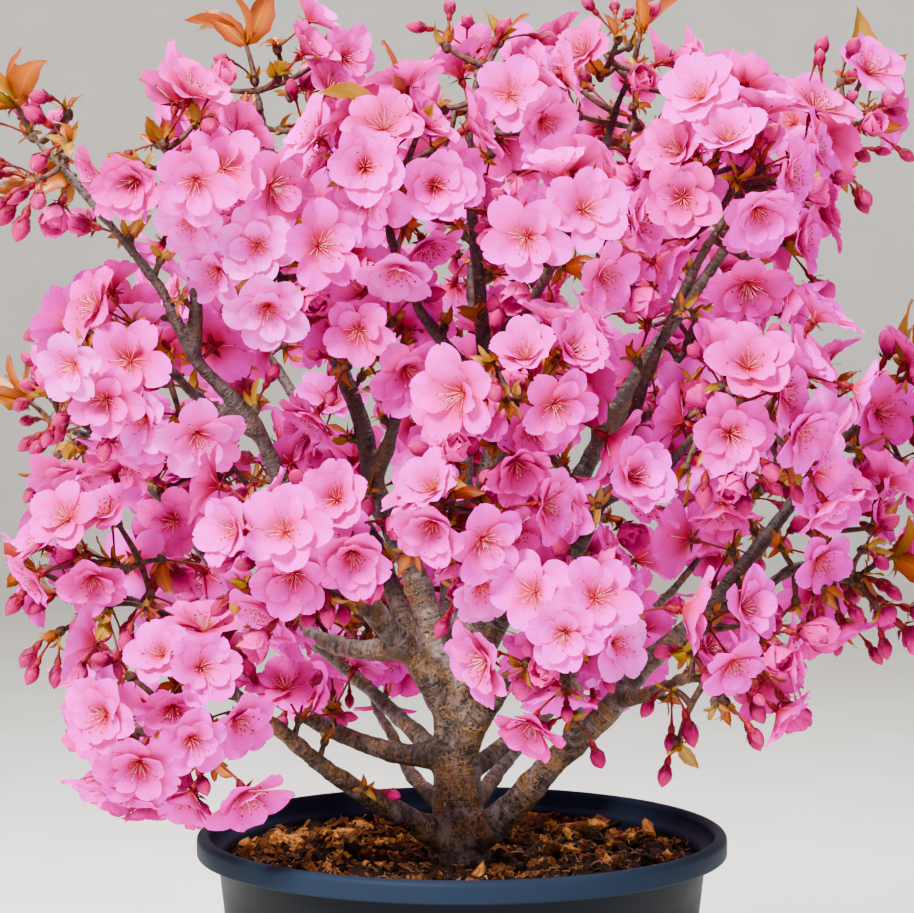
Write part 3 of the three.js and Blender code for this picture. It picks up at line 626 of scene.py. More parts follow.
        self.add_umbel(index, UMBEL.tries, end, way, spec.opened, UMBEL.most, index)
        if spec.name in TUFTS:
            self.add_tuft(spec, index, end)
        for k, (name, place, heading, rise, most, opened) in enumerate(GROUPS):
            if name == spec.name:
                spur, facing = np.array(place, float), direction(heading, rise)
                branch(UMBEL.tries + 2 + k, nearest_start(spur), spur, facing, opened, most)
        for k in range(UMBEL.tries):
            place, facing = umbel_place(spec, index, k)
            spur = place - UMBEL_PLACE.behind * BLOSSOM.pedicel * facing
            if min(np.linalg.norm(done - spur) for done in spurs) < UMBEL.apart:
                continue
            if not in_own_space(spur, index) or not clear_of_wood(spur, UMBEL.clear):
                continue
            start = nearest_start(spur)
            if TWIG.shortest < np.linalg.norm(spur - start) < TWIG.longest:
                branch(k, start, spur, facing, spec.opened, UMBEL.most)

    def grow_spurs(self, index):
        points, radii = WOOD[index]
        run = lengths_along(points)
        tangents, sides, others = frames_along(points)
        place, k, seed = SPUR.first * run[-1], 0, SPUR.seed + index
        while place < run[-1] - SPUR.end:
            i = int(np.searchsorted(run, place))
            angle = FULL_TURN * (GOLDEN_SHARE * k + chance(seed, k, DRAW.spur_turn))
            sideways = around(sides[i], others[i], angle)
            way = unit(SPUR.along * tangents[i] + sideways + SPUR.rise * UP)
            length = SPUR.length * drawn(SPUR.vary, seed, k, DRAW.spur_length)
            spur = points[i] + way * (radii[i] + length)
            self.add_twig(points[i], spur, way)
            if not self.add_umbel(seed, k, spur, way, SPUR_PARTS.opened, SPUR_PARTS.most, None):
                bare = (spur, way, 0.0, SPUR_PARTS.knuckle, chance(seed, k, DRAW.knuckle))
                self.knuckles.append(bare)
                self.add_scales(seed, k, spur, way, SPUR_PARTS.scales)
            place += SPUR.step * drawn(SPUR.vary, seed, k, DRAW.spur_step)
            k += 1


CROWN = Crown()
for index in range(len(MASSES)):
    CROWN.grow_mass(index)
for index in range(1, len(PATHS)):
    CROWN.grow_spurs(index)


# Node trees written as expressions
class Field:
    def __init__(self, graph, socket):
        self.graph = graph
        self.socket = socket

    def math(self, operation, *terms):
        made = self.graph.node("ShaderNodeMath", {"operation": operation}, dict(enumerate(terms)))
        return Field(self.graph, made.outputs[0])

    def __add__(self, other):
        return self.math("ADD", self, other)

    def __radd__(self, other):
        return self.math("ADD", other, self)

    def __sub__(self, other):
        return self.math("SUBTRACT", self, other)

    def __rsub__(self, other):
        return self.math("SUBTRACT", other, self)

    def __mul__(self, other):
        return self.math("MULTIPLY", self, other)

    def __rmul__(self, other):
        return self.math("MULTIPLY", other, self)

    def __abs__(self):
        return self.math("ABSOLUTE", self)

    def rise(self, low, high):
        inputs = {"Value": self, "From Min": low, "From Max": high}
        made = self.graph.node("ShaderNodeMapRange", {"interpolation_type": "SMOOTHSTEP"}, inputs)
        return Field(self.graph, made.outputs[0])


class Graph:
    def __init__(self, tree):
        self.tree = tree
        self.tree.nodes.clear()

    def node(self, kind, settings, inputs):
        made = self.tree.nodes.new(kind)
        for name, value in settings.items():
            setattr(made, name, value)
        for key, value in inputs.items():
            if isinstance(value, Field):
                self.tree.links.new(value.socket, made.inputs[key])
            else:
                made.inputs[key].default_value = value
        return made

    def field(self, kind, settings, inputs, output=0):
        return Field(self, self.node(kind, settings, inputs).outputs[output])


def rgb(red, green, blue):
    parts = [value / 255 for value in (red, green, blue)]
    return tuple(p / 12.92 if p <= 0.04045 else ((p + 0.055) / 1.055) ** 2.4 for p in parts) + (1.0,)


class Paint(Graph):
    def __init__(self, name):
        self.material = bpy.data.materials.new(name)
        self.material.use_nodes = True
        super().__init__(self.material.node_tree)

    def place(self):
        return self.field("ShaderNodeTexCoord", {}, {}, "Object")

    def parts(self, vector):
        split = self.node("ShaderNodeSeparateXYZ", {}, {0: vector})
        return [Field(self, socket) for socket in split.outputs]

    def flat(self):
        flat = self.field("ShaderNodeUVMap", {"uv_map": "OFBake"}, {})
        u, v, _ = self.parts(flat)
        return flat, u, v

    def stretch(self, vector, scale):
        return self.field("ShaderNodeVectorMath", {"operation": "MULTIPLY"}, {0: vector, 1: scale})

    def noise(self, vector, scale, detail=3.0, rough=0.55):
        inputs = {"Vector": vector, "Scale": scale, "Detail": detail, "Roughness": rough}
        return self.field("ShaderNodeTexNoise", {}, inputs)

    def streaks(self, vector, scale, detail=3.0, rough=0.55):
        return self.noise(self.stretch(vector, scale), 1.0, detail, rough)

    def cells(self, vector, scale):
        return self.field("ShaderNodeTexVoronoi", {}, {"Vector": vector, "Scale": scale}, "Distance")

    def mix(self, share, low, high):
        return self.field("ShaderNodeMix", {"data_type": "RGBA"}, {0: share, 6: low, 7: high}, 2)

    def bump(self, height, strength, distance):
        inputs = {"Height": height, "Strength": strength, "Distance": distance}
        return self.field("ShaderNodeBump", {}, inputs)

    def surface(self, colour, rough, gloss=0.5, normal=None):
        inputs = {"Base Color": colour, "Roughness": rough, "Specular IOR Level": gloss}
        if normal is not None:
            inputs["Normal"] = normal
        return self.field("ShaderNodeBsdfPrincipled", {}, inputs)

    def sheer(self, shader, colour, share):
        through = self.field("ShaderNodeBsdfTranslucent", {}, {"Color": colour})
        return self.field("ShaderNodeMixShader", {}, {0: share, 1: shader, 2: through})

    def finish(self, shader):
        self.node("ShaderNodeOutputMaterial", {}, {"Surface": shader})
        return self.material


def petal_paint(name, edge, middle, heart):
    paint = Paint(name)
    flat, _, v = paint.flat()
    vein = paint.streaks(flat, (24.0, 1.5, 0.0), detail=1.0)
    blush = paint.noise(paint.place(), 55.0, detail=1.0)
    colour = paint.mix((v + (0.5 - blush) * 0.6).rise(0.32, 0.95), middle, edge)
    colour = paint.mix(vein.rise(0.47, 0.65) * 0.6, colour, middle)
    colour = paint.mix((1.0 - v).rise(0.5, 0.88), colour, heart)
    shader = paint.surface(colour, vein * 0.2 + 0.5, gloss=0.08)
    return paint.finish(paint.sheer(shader, middle, share=0.22))


def bud_paint():
    paint = Paint("bud_petals")
    flat, _, v = paint.flat()
    fold = paint.streaks(flat, (9.0, 1.5, 0.0), detail=2.0)
    colour = paint.mix(v.rise(0.1, 0.9), rgb(108, 0, 50), rgb(156, 0, 84))
    # Lighter streaks along the folds are a painted highlight
    colour = paint.mix(fold.rise(0.5, 0.72) * 0.6, colour, rgb(206, 0, 138))
    return paint.finish(paint.surface(colour, fold * 0.2 + 0.4, gloss=0.06))


def leaf_paint(name, blade, edge, rib):
    paint = Paint(name)
    flat, u, v = paint.flat()
    middle = abs(u - 0.5)
    veins = paint.streaks(flat, (3.0, 15.0, 0.0), detail=2.0)
    colour = paint.mix((middle * 2.0 + (veins - 0.5) * 0.6).rise(0.2, 1.0), blade, edge)
    colour = paint.mix(v.rise(0.55, 1.0) * 0.7, colour, edge)
    colour = paint.mix((1.0 - middle * 14.0).rise(0.0, 1.0) * 0.7, colour, rib)
    normal = paint.bump(veins, strength=0.4, distance=0.0006)
    shader = paint.surface(colour, veins * 0.2 + 0.32, gloss=0.45, normal=normal)
    return paint.finish(paint.sheer(shader, blade, share=0.3))


def mottled_paint(name, dark, light, scale, rough, depth=0.0004, gloss=0.5):
    paint = Paint(name)
    grain = paint.noise(paint.place(), scale, detail=4.0, rough=0.6)
    colour = paint.mix(grain.rise(0.32, 0.68), dark, light)
    normal = paint.bump(grain, strength=0.5, distance=depth)
    return paint.finish(paint.surface(colour, grain * 0.25 + rough, gloss, normal))


def filament_paint():
    paint = Paint("filaments")
    _, u, v = paint.flat()
    colour = paint.mix(v.rise(0.1, 0.8), rgb(206, 6, 40), rgb(255, 160, 196))
    return paint.finish(paint.surface(colour, u * 0.1 + 0.45))


def bark_paint():
    paint = Paint("bark")
    limbs = paint.field("ShaderNodeAttribute", {"attribute_name": "limb"}, {}, "Vector")
    apart = paint.field("ShaderNodeAttribute", {"attribute_name": "apart"}, {}, "Fac")
    place = paint.place()
    coarse = paint.noise(place, 190.0, detail=4.0, rough=0.62)
    speck = paint.noise(place, 620.0, rough=0.7)
    grain = paint.streaks(limbs, (150.0, 150.0, 380.0), detail=4.0, rough=0.62)
    rings = paint.streaks(limbs, (60.0, 60.0, 1000.0))
    patch = paint.noise(place, 62.0)
    sheen = paint.streaks(place, (120.0, 120.0, 60.0))
    fleck = paint.cells(paint.stretch(limbs, (190.0, 190.0, 420.0)), 1.0)
    pits = paint.cells(place, 330.0)
    young = paint.parts(place)[2].rise(0.27, 0.42)
    tone = (coarse + (grain - coarse) * apart) * 0.6 + speck * 0.4
    colour = paint.mix(tone.rise(0.42, 0.58), rgb(13, 7, 5), rgb(84, 60, 48))
    colour = paint.mix(sheen.rise(0.5, 0.64) * (0.6 - young * 0.25), colour, rgb(122, 108, 110))
    colour = paint.mix(patch.rise(0.53, 0.66) * 0.45, colour, rgb(112, 68, 20))
    lichen = patch.rise(0.42, 0.58) * speck.rise(0.48, 0.6) * (0.75 - young * 0.45)
    colour = paint.mix(lichen, colour, rgb(142, 96, 36))
    colour = paint.mix(rings.rise(0.56, 0.66) * apart * 0.4, colour, rgb(134, 118, 110))
    colour = paint.mix((0.44 - rings).rise(0.0, 0.1) * apart * 0.6, colour, rgb(14, 8, 6))
    colour = paint.mix(young * 0.45, colour, rgb(30, 17, 16))
    holes = (0.36 - pits).rise(0.0, 0.14) * coarse.rise(0.46, 0.58)
    colour = paint.mix(holes * 0.8, colour, rgb(9, 5, 4))
    dots = (0.17 - fleck).rise(0.0, 0.1) * apart * patch.rise(0.4, 0.58) * 0.8
    colour = paint.mix(dots, colour, rgb(172, 142, 100))
    height = tone * 1.3 + rings * apart * 0.4 - holes * 0.5 + dots * 0.3
    normal = paint.bump(height, strength=0.9, distance=0.0016)
    return paint.finish(paint.surface(colour, speck * 0.3 + 0.42, gloss=0.4, normal=normal))


def pot_paint():
    paint = Paint("pot_plastic")
    place = paint.place()
    high = paint.parts(place)[2]
    grain = paint.noise(place, 900.0)
    scuff = paint.streaks(place, (14.0, 14.0, 60.0), detail=4.0, rough=0.65)
    colour = paint.mix(high.rise(0.2122, 0.2146), rgb(14, 18, 23), rgb(21, 31, 46))
    colour = paint.mix(scuff.rise(0.55, 0.8) * 0.3, colour, rgb(34, 40, 48))
    normal = paint.bump(grain, strength=0.12, distance=0.0002)
    return paint.finish(paint.surface(colour, scuff * 0.22 + 0.42, gloss=0.04, normal=normal))


def floor_paint():
    paint = Paint("studio_floor")
    grain = paint.noise(paint.place(), 6.0, detail=4.0)
    colour = paint.mix(grain.rise(0.3, 0.7), rgb(226, 222, 216), rgb(233, 230, 225))
    return paint.finish(paint.surface(colour, grain * 0.1 + 0.6))


# Shapes as points in millimetres, faces, and a flat place for each point
class Shape:
    def __init__(self):
        self.points, self.faces, self.flats = [], [], []

    def grid(self, points, flats, closed=False):
        rows, columns = points.shape[:2]
        base = len(self.points)
        self.points += points.reshape(-1, 3).tolist()
        self.flats += flats.reshape(-1, 2).tolist()
        for i in range(rows - 1):
            for j in range(columns if closed else columns - 1):
                a, b = base + i * columns + j, base + i * columns + (j + 1) % columns
                self.faces.append((a, b, b + columns, a + columns))
        return base

    def close(self, ring, point, flat):
        self.points.append(list(point))
        self.flats.append(list(flat))
        tip = len(self.points) - 1
        self.faces += [(a, b, tip) for a, b in zip(ring, ring[1:] + ring[:1])]

    def tube(self, points, flats, low, high, ends=((0.5, 0), (0.5, 1))):
        rows, sides = points.shape[:2]
        first = self.grid(points, flats, True)
        last = first + (rows - 1) * sides
        self.close(list(range(first, first + sides))[::-1], low, ends[0])
        self.close(list(range(last, last + sides)), high, ends[1])

    def mesh(self, name, smooth=True):
        made = bpy.data.meshes.new(name)
        made.from_pydata((np.array(self.points) * MM).tolist(), [], self.faces)
        corners = np.empty(len(made.loops), np.int32)
        made.loops.foreach_get("vertex_index", corners)
        layer = made.uv_layers.new(name="OFBake")
        layer.data.foreach_set("uv", np.array(self.flats, np.float32)[corners].ravel())
        made.polygons.foreach_set("use_smooth", np.full(len(made.polygons), smooth))
        made.update()
        return made


PLAIN_ENDS = ((0, 0), (0, 0))


def turned(points, angle):
    c, s = math.cos(angle), math.sin(angle)
    return points @ np.array([[c, s, 0], [-s, c, 0], [0, 0, 1]])


def rings_about(path_r, path_z, sides, ridges=None):
    angle = np.arange(sides) * FULL_TURN / sides
    r = np.asarray(path_r, float)[:, None] * np.ones(sides)
    if ridges is not None:
        r = r * ridges(angle[None, :], np.linspace(0, 1, len(path_r))[:, None])
    z = np.asarray(path_z, float)[:, None] * np.ones(sides)
    points = np.stack([r * np.cos(angle), r * np.sin(angle), z], axis=-1)
    u, v = np.meshgrid(np.arange(sides) / sides, np.linspace(0, 1, len(path_r)))
    return points, np.stack([u, v], axis=-1)


def blade_flats(u, v):
    return np.stack([0.5 + 0.5 * u + 0 * v, v + 0 * u], axis=-1)


def running_sum(values, steps):
    return np.concatenate([[0], np.cumsum(0.5 * (values[1:] + values[:-1]) * np.diff(steps))])


PETAL = Sizes(claw=0.1, widest=0.66, full=1.1, round=0.46, arch=0.97, notch=0.1, bend=0.7)
PETAL_FOOT = Sizes(height=6.4, radius=1.5)
WAVE = Sizes(across=3.1, along=4, ripple=0.07, ripple_across=6.5)
PETAL_STEPS = np.linspace(0, 1.1, 45)
PETAL_HALF = (0.13, 0.45, 0.74, 0.93, 1.0)
PETAL_ACROSS = np.array([-x for x in PETAL_HALF[::-1]] + [0.0] + list(PETAL_HALF))


def petal(rows, length, half, leans, cup, twist, wave, notch, phase):
    u = PETAL_ACROSS[None, :]
    arch = 1 - np.sqrt(1 - PETAL.arch * u**2)
    outline = 1 - PETAL.round * arch - notch * np.exp(-((u / PETAL.notch) ** 2))
    t = np.linspace(0, 1, rows)[:, None] * outline
    opened = np.sin(0.5 * math.pi * np.clip(t / PETAL.widest, 0, 1)) ** PETAL.full
    broad = PETAL.claw + (1 - PETAL.claw) * opened
    lean = np.radians(leans[0] + (leans[1] - leans[0]) * np.minimum(PETAL_STEPS, 1) ** PETAL.bend)
    far = running_sum(np.sin(lean), PETAL_STEPS)
    high = running_sum(np.cos(lean), PETAL_STEPS)
    here = np.interp(t, PETAL_STEPS, lean)
    lift = half * broad * (cup * u**2 + twist * u)
    lift += half * wave * np.sin(WAVE.across * u + WAVE.along * t + phase) * t**2
    lift += half * WAVE.ripple * np.sin(WAVE.ripple_across * u + 2 * phase) * t**3
    r = PETAL_FOOT.radius + length * np.interp(t, PETAL_STEPS, far) - np.cos(here) * lift
    z = PETAL_FOOT.height + length * np.interp(t, PETAL_STEPS, high) + np.sin(here) * lift
    return np.stack([r, half * broad * u, z], axis=-1), blade_flats(u, t)


# Kinds of open blossom: how far open, petals in the outer whorl and in the inner one
KINDS = (
    (1.0, 5, 3),
    (1.04, 5, 5),
    (0.97, 6, 4),
    (0.9, 5, 4),
    (1.02, 5, 2),
    (0.8, 5, 5),
)
CUPPING = 0.34
OUTER = Sizes(rows=5, length=21.8, half=8.8, leans=(52, 85), cup=0.16)
INNER = Sizes(rows=4, length=16.5, half=6.5, leans=(34, 68), cup=0.22)
# Blossoms that are about to open: leans of the petals at foot and tip
GLOBES = ((64, -30), (58, -18), (48, -2))
GLOBE_CLOSE = (24, 40)
GLOBE_SEED = 20
GLOBE_OUTER = Sizes(count=5, rows=5, length=16.5, half=7.8, cup=0.5)
GLOBE_INNER = Sizes(count=4, rows=4, length=13.5, half=6.0, cup=0.5)
# How petals of one whorl differ
VARY = Sizes(length=(0.9, 0.16), half=(0.9, 0.2), lean=13, cup=0.16, twist=0.26, twist_middle=0.4)
VARY_EDGE = Sizes(wave=(0.06, 0.12), notch=(0.04, 0.06), phase=6.28, turn=0.05, fewest=4)


def whorl(shape, seed, row, count, size, leans, cup):
    for i in range(count):
        vary = draws(seed, 10 * row + i, DRAW.petal, 7)
        points, flats = petal(
            rows=size.rows,
            length=size.length * spanned(VARY.length, vary[1]),
            half=size.half * spanned(VARY.half, vary[2]),
            leans=[lean + VARY.lean * (vary[0] - 0.5) for lean in leans],
            cup=cup + VARY.cup * vary[3],
            twist=VARY.twist * (vary[4] - VARY.twist_middle),
            wave=spanned(VARY_EDGE.wave, vary[5]),
            notch=spanned(VARY_EDGE.notch, vary[6]),
            phase=VARY_EDGE.phase * vary[3],
        )
        stray = VARY_EDGE.turn * (vary[0] - 0.5)
        angle = FULL_TURN * ((i + 0.5 * row) / max(count, VARY_EDGE.fewest) + stray)
        shape.grid(turned(points, angle), flats)


def blossom_shape(variant):
    shape = Shape()
    opening, outer, inner = KINDS[variant]
    for row, (count, size) in enumerate(((outer, OUTER), (inner, INNER))):
        leans = [opening * lean for lean in size.leans]
        whorl(shape, variant, row, count, size, leans, size.cup + CUPPING * max(0.0, 1 - opening))
    return shape


def globe_shape(variant):
    shape = Shape()
    for row, size in enumerate((GLOBE_OUTER, GLOBE_INNER)):
        leans = [lean - close * row for lean, close in zip(GLOBES[variant], GLOBE_CLOSE)]
        whorl(shape, GLOBE_SEED + variant, row, size.count, size, leans, size.cup)
    return shape


STAMEN = Sizes(kinds=4, count=22, foot=1.1, sunk=0.4, least=7.0, spare=5.5, by_place=0.55, by_chance=0.45)
STAMEN_WAY = Sizes(first=4, spread=58, ease=0.8, stray=0.04, sway=0.3)
FILAMENT = Sizes(radius=0.17, foot=1.4, tip=0.8)
ANTHER = Sizes(radius=0.58, tall=1.3)
TRIANGLE = np.array([[1, 0, 0], [-0.5, 0.87, 0], [-0.5, -0.87, 0]])


def stamen_shapes(variant):
    filaments, anthers = Shape(), Shape()
    for i in range(STAMEN.count):
        vary = draws(variant, i, DRAW.stamen, 3)
        angle = FULL_TURN * (i * GOLDEN_SHARE + STAMEN_WAY.stray * vary[0])
        share = (i + 0.5) / STAMEN.count
        lean = math.radians(STAMEN_WAY.first + STAMEN_WAY.spread * share**STAMEN_WAY.ease)
        length = STAMEN.least + STAMEN.spare * (STAMEN.by_place * share + STAMEN.by_chance * vary[1])
        foot = np.array([STAMEN.foot * share, 0, PETAL_FOOT.height - STAMEN.sunk])
        tip = foot + length * np.array([math.sin(lean), STAMEN_WAY.sway * (vary[2] - 0.5), math.cos(lean)])
        ring = FILAMENT.radius * TRIANGLE
        points = np.stack([foot + FILAMENT.foot * ring, tip + FILAMENT.tip * ring])
        flats = np.stack([np.full((2, 3), 0.5), np.repeat([[0.0], [1.0]], 3, axis=1)], axis=-1)
        filaments.grid(turned(points, angle), flats, True)
        belt = turned(tip + ANTHER.radius * TRIANGLE, angle)[None]
        end = turned(tip[None], angle)[0]
        tall = ANTHER.tall * ANTHER.radius * UP
        anthers.tube(belt, np.full((1, 3, 2), 0.5), end - tall, end + tall)
    return filaments, anthers


CALYX = Sizes(sides=6, low=-0.9, high=6.2)
CALYX_RADII = (0.9, 1.9, 2.15, 1.75, 2.3)
CALYX_HEIGHTS = (-0.6, 1.4, 3.2, 5.2, 6.5)
SEPAL = Sizes(count=5, length=5.2, half=1.7, point=0.7, out=2.1, up=5.6, hollow=0.3)
SEPAL_LEANS = (1.75, 1.05, 0.5)


def calyx_shape(lean):
    shape = Shape()
    points, flats = rings_about(CALYX_RADII, CALYX_HEIGHTS, CALYX.sides)
    shape.tube(points, flats, (0, 0, CALYX.low), (0, 0, CALYX.high))
    v = np.linspace(0, 1, 3)[:, None]
    u = np.linspace(-1, 1, 3)[None, :]
    r = SEPAL.out + SEPAL.length * v * math.sin(lean) + 0 * u
    z = SEPAL.up + SEPAL.length * v * math.cos(lean) - SEPAL.hollow * u**2
    points = np.stack([r, SEPAL.half * u * (1 - v) ** SEPAL.point, z], axis=-1)
    for i in range(SEPAL.count):
        shape.grid(turned(points, FULL_TURN * i / SEPAL.count), blade_flats(u, v))
    return shape


CLOSED = Sizes(kinds=3, rings=8, sides=10, first=0.02, last=0.97, plump=(3.3, 1.1), low=0.9, full=0.72)
CLOSED_ENDS = Sizes(neck=1.9, seat=4.2, length=12.5, tip=0.7, foot=0.4)
CLOSED_FOLD = Sizes(depth=0.16, around=2.5, twist=2.6)


def bud_shape(variant):
    share = np.linspace(CLOSED.first, CLOSED.last, CLOSED.rings)
    r = drawn(CLOSED.plump, variant, 0, DRAW.bud) * np.sin(math.pi * share**CLOSED.low) ** CLOSED.full
    r[0] = CLOSED_ENDS.neck
    z = CLOSED_ENDS.seat + CLOSED_ENDS.length * share

    def ridges(angle, v):
        fold = np.abs(np.sin(CLOSED_FOLD.around * angle + CLOSED_FOLD.twist * v + variant))
        return 1 + CLOSED_FOLD.depth * v * fold

    shape = Shape()
    points, flats = rings_about(r, z, CLOSED.sides, ridges)
    shape.tube(points, flats, (0, 0, z[0] - CLOSED_ENDS.foot), (0, 0, z[-1] + CLOSED_ENDS.tip))
    return shape


LEAF = Sizes(kinds=3, rows=10, columns=5, length=36, width=14, fold=0.35, curl=(0.4, 0.5))
SCALE = Sizes(kinds=2, rows=5, columns=3, length=10, width=3.3, fold=0.4, curl=(0.6, 0.8))
BLADE = Sizes(teeth=0.06, stalk=0.06, low=0.8, full=0.9, narrow=0.15)
BLADE_WAVE = Sizes(depth=0.09, along=7, across=2)


def leaf_shape(form, variant):
    v = np.linspace(0, 1, form.rows)[:, None]
    u = np.linspace(-1, 1, form.columns)[None, :]
    teeth = 1 + BLADE.teeth * np.where(np.arange(form.rows) % 2, 1, -1)[:, None]
    belly = np.sin(math.pi * v**BLADE.low) ** BLADE.full * (1 - BLADE.narrow * v)
    half = 0.5 * form.width * teeth * (BLADE.stalk + belly)
    curl = spanned(form.curl, variant)
    bend = curl * v + 0 * u
    wave = np.sin(BLADE_WAVE.along * v + BLADE_WAVE.across * u + variant) * np.abs(u)
    lift = form.fold * half * np.abs(u) + BLADE_WAVE.depth * form.width * wave
    x = form.length * (1 - np.cos(bend)) / curl - lift * np.cos(bend)
    z = form.length * np.sin(bend) / curl + lift * np.sin(bend)
    shape = Shape()
    shape.grid(np.stack([x, half * u, z], axis=-1), blade_flats(u, v))
    return shape


KNUCKLE = Sizes(radii=(1.4, 2.5, 2.7, 2.0), heights=(-3.4, -1.4, 0.6, 2.0), sides=8, low=-3.9, high=2.6)


def knuckle_shape():
    shape = Shape()
    points, flats = rings_about(KNUCKLE.radii, KNUCKLE.heights, KNUCKLE.sides)
    shape.tube(points, flats, (0, 0, KNUCKLE.low), (0, 0, KNUCKLE.high))
    return shape


CHIP = Sizes(long=(3.2, 4.5), broad=(2.2, 2.2), thick=1.3, wild=(2.4, 1.8, 1.2))
CHIP_LEVELS = ((-1, 0.8), (0.2, 1.0), (1, 0.62))
CHIP_CORNERS = np.array([[-1, -1], [1, -1], [1, 1], [-1, 1]], float)
CRUMB = Sizes(long=(3.2, 2.4), girth=0.8, tall=1.7, sides=7, end=0.8, wild=0.75, squash=(1.0, 0.62, 0.8))
CRUMB_SHARES = np.array([0.12, 0.36, 0.64, 0.9])


def chip_shape(variant):
    shape = Shape()
    size = (drawn(CHIP.long, variant, 1, DRAW.chip), drawn(CHIP.broad, variant, 2, DRAW.chip))
    rows = []
    for level, share in CHIP_LEVELS:
        wild = np.array([draws(variant, 7 * k + level, DRAW.chip_corner, 3) for k in range(4)]) - 0.5
        flat = np.column_stack([CHIP_CORNERS * size * share, np.full(4, level * CHIP.thick)])
        rows.append(flat + wild * CHIP.wild)
    base = shape.grid(np.array(rows), np.full((3, 4, 2), 0.5), True)
    shape.faces += [tuple(base + k for k in (3, 2, 1, 0)), tuple(base + k for k in (8, 9, 10, 11))]
    return shape


def crumb_shape(variant):
    shape = Shape()
    long = drawn(CRUMB.long, variant, 1, DRAW.crumb)
    girth = long * CRUMB.girth * np.sin(math.pi * CRUMB_SHARES)
    points, flats = rings_about(girth, CRUMB.tall * long * (CRUMB_SHARES - 0.5), CRUMB.sides)
    wild = [
        [draws(variant, 9 * i + k, DRAW.crumb_point, 3) for k in range(CRUMB.sides)]
        for i in range(len(CRUMB_SHARES))
    ]
    points = points * CRUMB.squash + CRUMB.wild * long * (np.array(wild) - 0.5)
    end = CRUMB.end * long
    shape.tube(points, flats, (0, 0, -end), (0, 0, end))
    return shape


# Geometry Nodes: shapes scattered on points, and skins along rows of points
def group_tree(name, sockets):
    tree = bpy.data.node_groups.new(name, "GeometryNodeTree")
    named = {}
    for title, kind in [("Geometry", "NodeSocketGeometry")] + sockets:
        named[title] = tree.interface.new_socket(title, in_out="INPUT", socket_type=kind).identifier
    tree.interface.new_socket("Geometry", in_out="OUTPUT", socket_type="NodeSocketGeometry")
    graph = Graph(tree)
    source = graph.node("NodeGroupInput", {}, {})
    given = {socket.name: Field(graph, socket) for socket in source.outputs if socket.name}
    return tree, graph, named, given


def stored(graph, name, kind):
    return graph.field("GeometryNodeInputNamedAttribute", {"data_type": kind}, {"Name": name})


def coated(graph, shape, material):
    joined = graph.field("GeometryNodeRealizeInstances", {}, {"Geometry": shape})
    inputs = {"Geometry": joined, "Material": material}
    painted = graph.field("GeometryNodeSetMaterial", {}, inputs)
    graph.node("NodeGroupOutput", {}, {"Geometry": painted})


def scatter_group():
    sockets = [("Shapes", "NodeSocketCollection"), ("Material", "NodeSocketMaterial")]
    tree, graph, named, given = group_tree("scatter shapes", sockets)
    info = {"Collection": given["Shapes"], "Separate Children": True, "Reset Children": True}
    inputs = {
        "Points": given["Geometry"],
        "Instance": graph.field("GeometryNodeCollectionInfo", {}, info),
        "Pick Instance": True,
        "Instance Index": stored(graph, "shape", "INT"),
        "Rotation": stored(graph, "turn", "QUATERNION"),
        "Scale": stored(graph, "size", "FLOAT"),
    }
    coated(graph, graph.field("GeometryNodeInstanceOnPoints", {}, inputs), given["Material"])
    return tree, named


def skin_group():
    sockets = [("Sides", "NodeSocketInt"), ("Material", "NodeSocketMaterial")]
    tree, graph, named, given = group_tree("skin stalks", sockets)
    circle = {"Resolution": given["Sides"], "Radius": 1.0}
    inputs = {
        "Curve": graph.field("GeometryNodeMeshToCurve", {}, {"Mesh": given["Geometry"]}),
        "Profile Curve": graph.field("GeometryNodeCurvePrimitiveCircle", {}, circle),
        "Scale": stored(graph, "thick", "FLOAT"),
        "Fill Caps": True,
    }
    skin = graph.field("GeometryNodeCurveToMesh", {}, inputs)
    smooth = graph.field("GeometryNodeSetShadeSmooth", {}, {"Geometry": skin, "Shade Smooth": True})
    coated(graph, smooth, given["Material"])
    return tree, named


SCATTER = scatter_group()
SKIN = skin_group()
MAKERS = []


def linked(name, mesh):
    made = bpy.data.objects.new(name, mesh)
    bpy.context.scene.collection.objects.link(made)
    return made


def plain_copy(maker, name):
    bpy.context.view_layer.update()
    graph = bpy.context.evaluated_depsgraph_get()
    mesh = bpy.data.meshes.new_from_object(maker.evaluated_get(graph), depsgraph=graph)
    mesh.name = name
    bpy.data.objects.remove(maker)
    return linked(name, mesh)


def through_nodes(maker, group, values, name):
    tree, named = group
    modifier = maker.modifiers.new(tree.name, "NODES")
    modifier.node_group = tree
    for title, value in values.items():
        modifier[named[title]] = value
    return plain_copy(maker, name)


def collected(name, shapes, smooth=True):
    group = bpy.data.collections.new(name)
    bpy.context.scene.collection.children.link(group)
    MAKERS.append(group)
    for i, shape in enumerate(shapes):
        title = f"{name} {i:02d}"
        group.objects.link(bpy.data.objects.new(title, shape.mesh(title, smooth)))
    return group


def turn_of(gaze, spin):
    side, other = across(gaze)
    first = around(side, other, spin)
    basis = Matrix(np.column_stack([first, np.cross(gaze, first), gaze]).tolist())
    return tuple(basis.to_quaternion())


def store(mesh, name, kind, values, number=np.float32):
    layer = mesh.attributes.new(name, kind, "POINT")
    title = "vector" if kind == "FLOAT_VECTOR" else "value"
    layer.data.foreach_set(title, np.array(values, number).ravel())


def scattered(name, sites, group, material):
    mesh = bpy.data.meshes.new(name)
    mesh.from_pydata([Vector(site[0]) * MM for site in sites], [], [])
    store(mesh, "turn", "QUATERNION", [turn_of(site[1], site[2]) for site in sites])
    store(mesh, "size", "FLOAT", [site[3] for site in sites])
    store(mesh, "shape", "INT", [site[4] for site in sites], np.int32)
    values = {"Shapes": group, "Material": material}
    return through_nodes(linked(name, mesh), SCATTER, values, name)


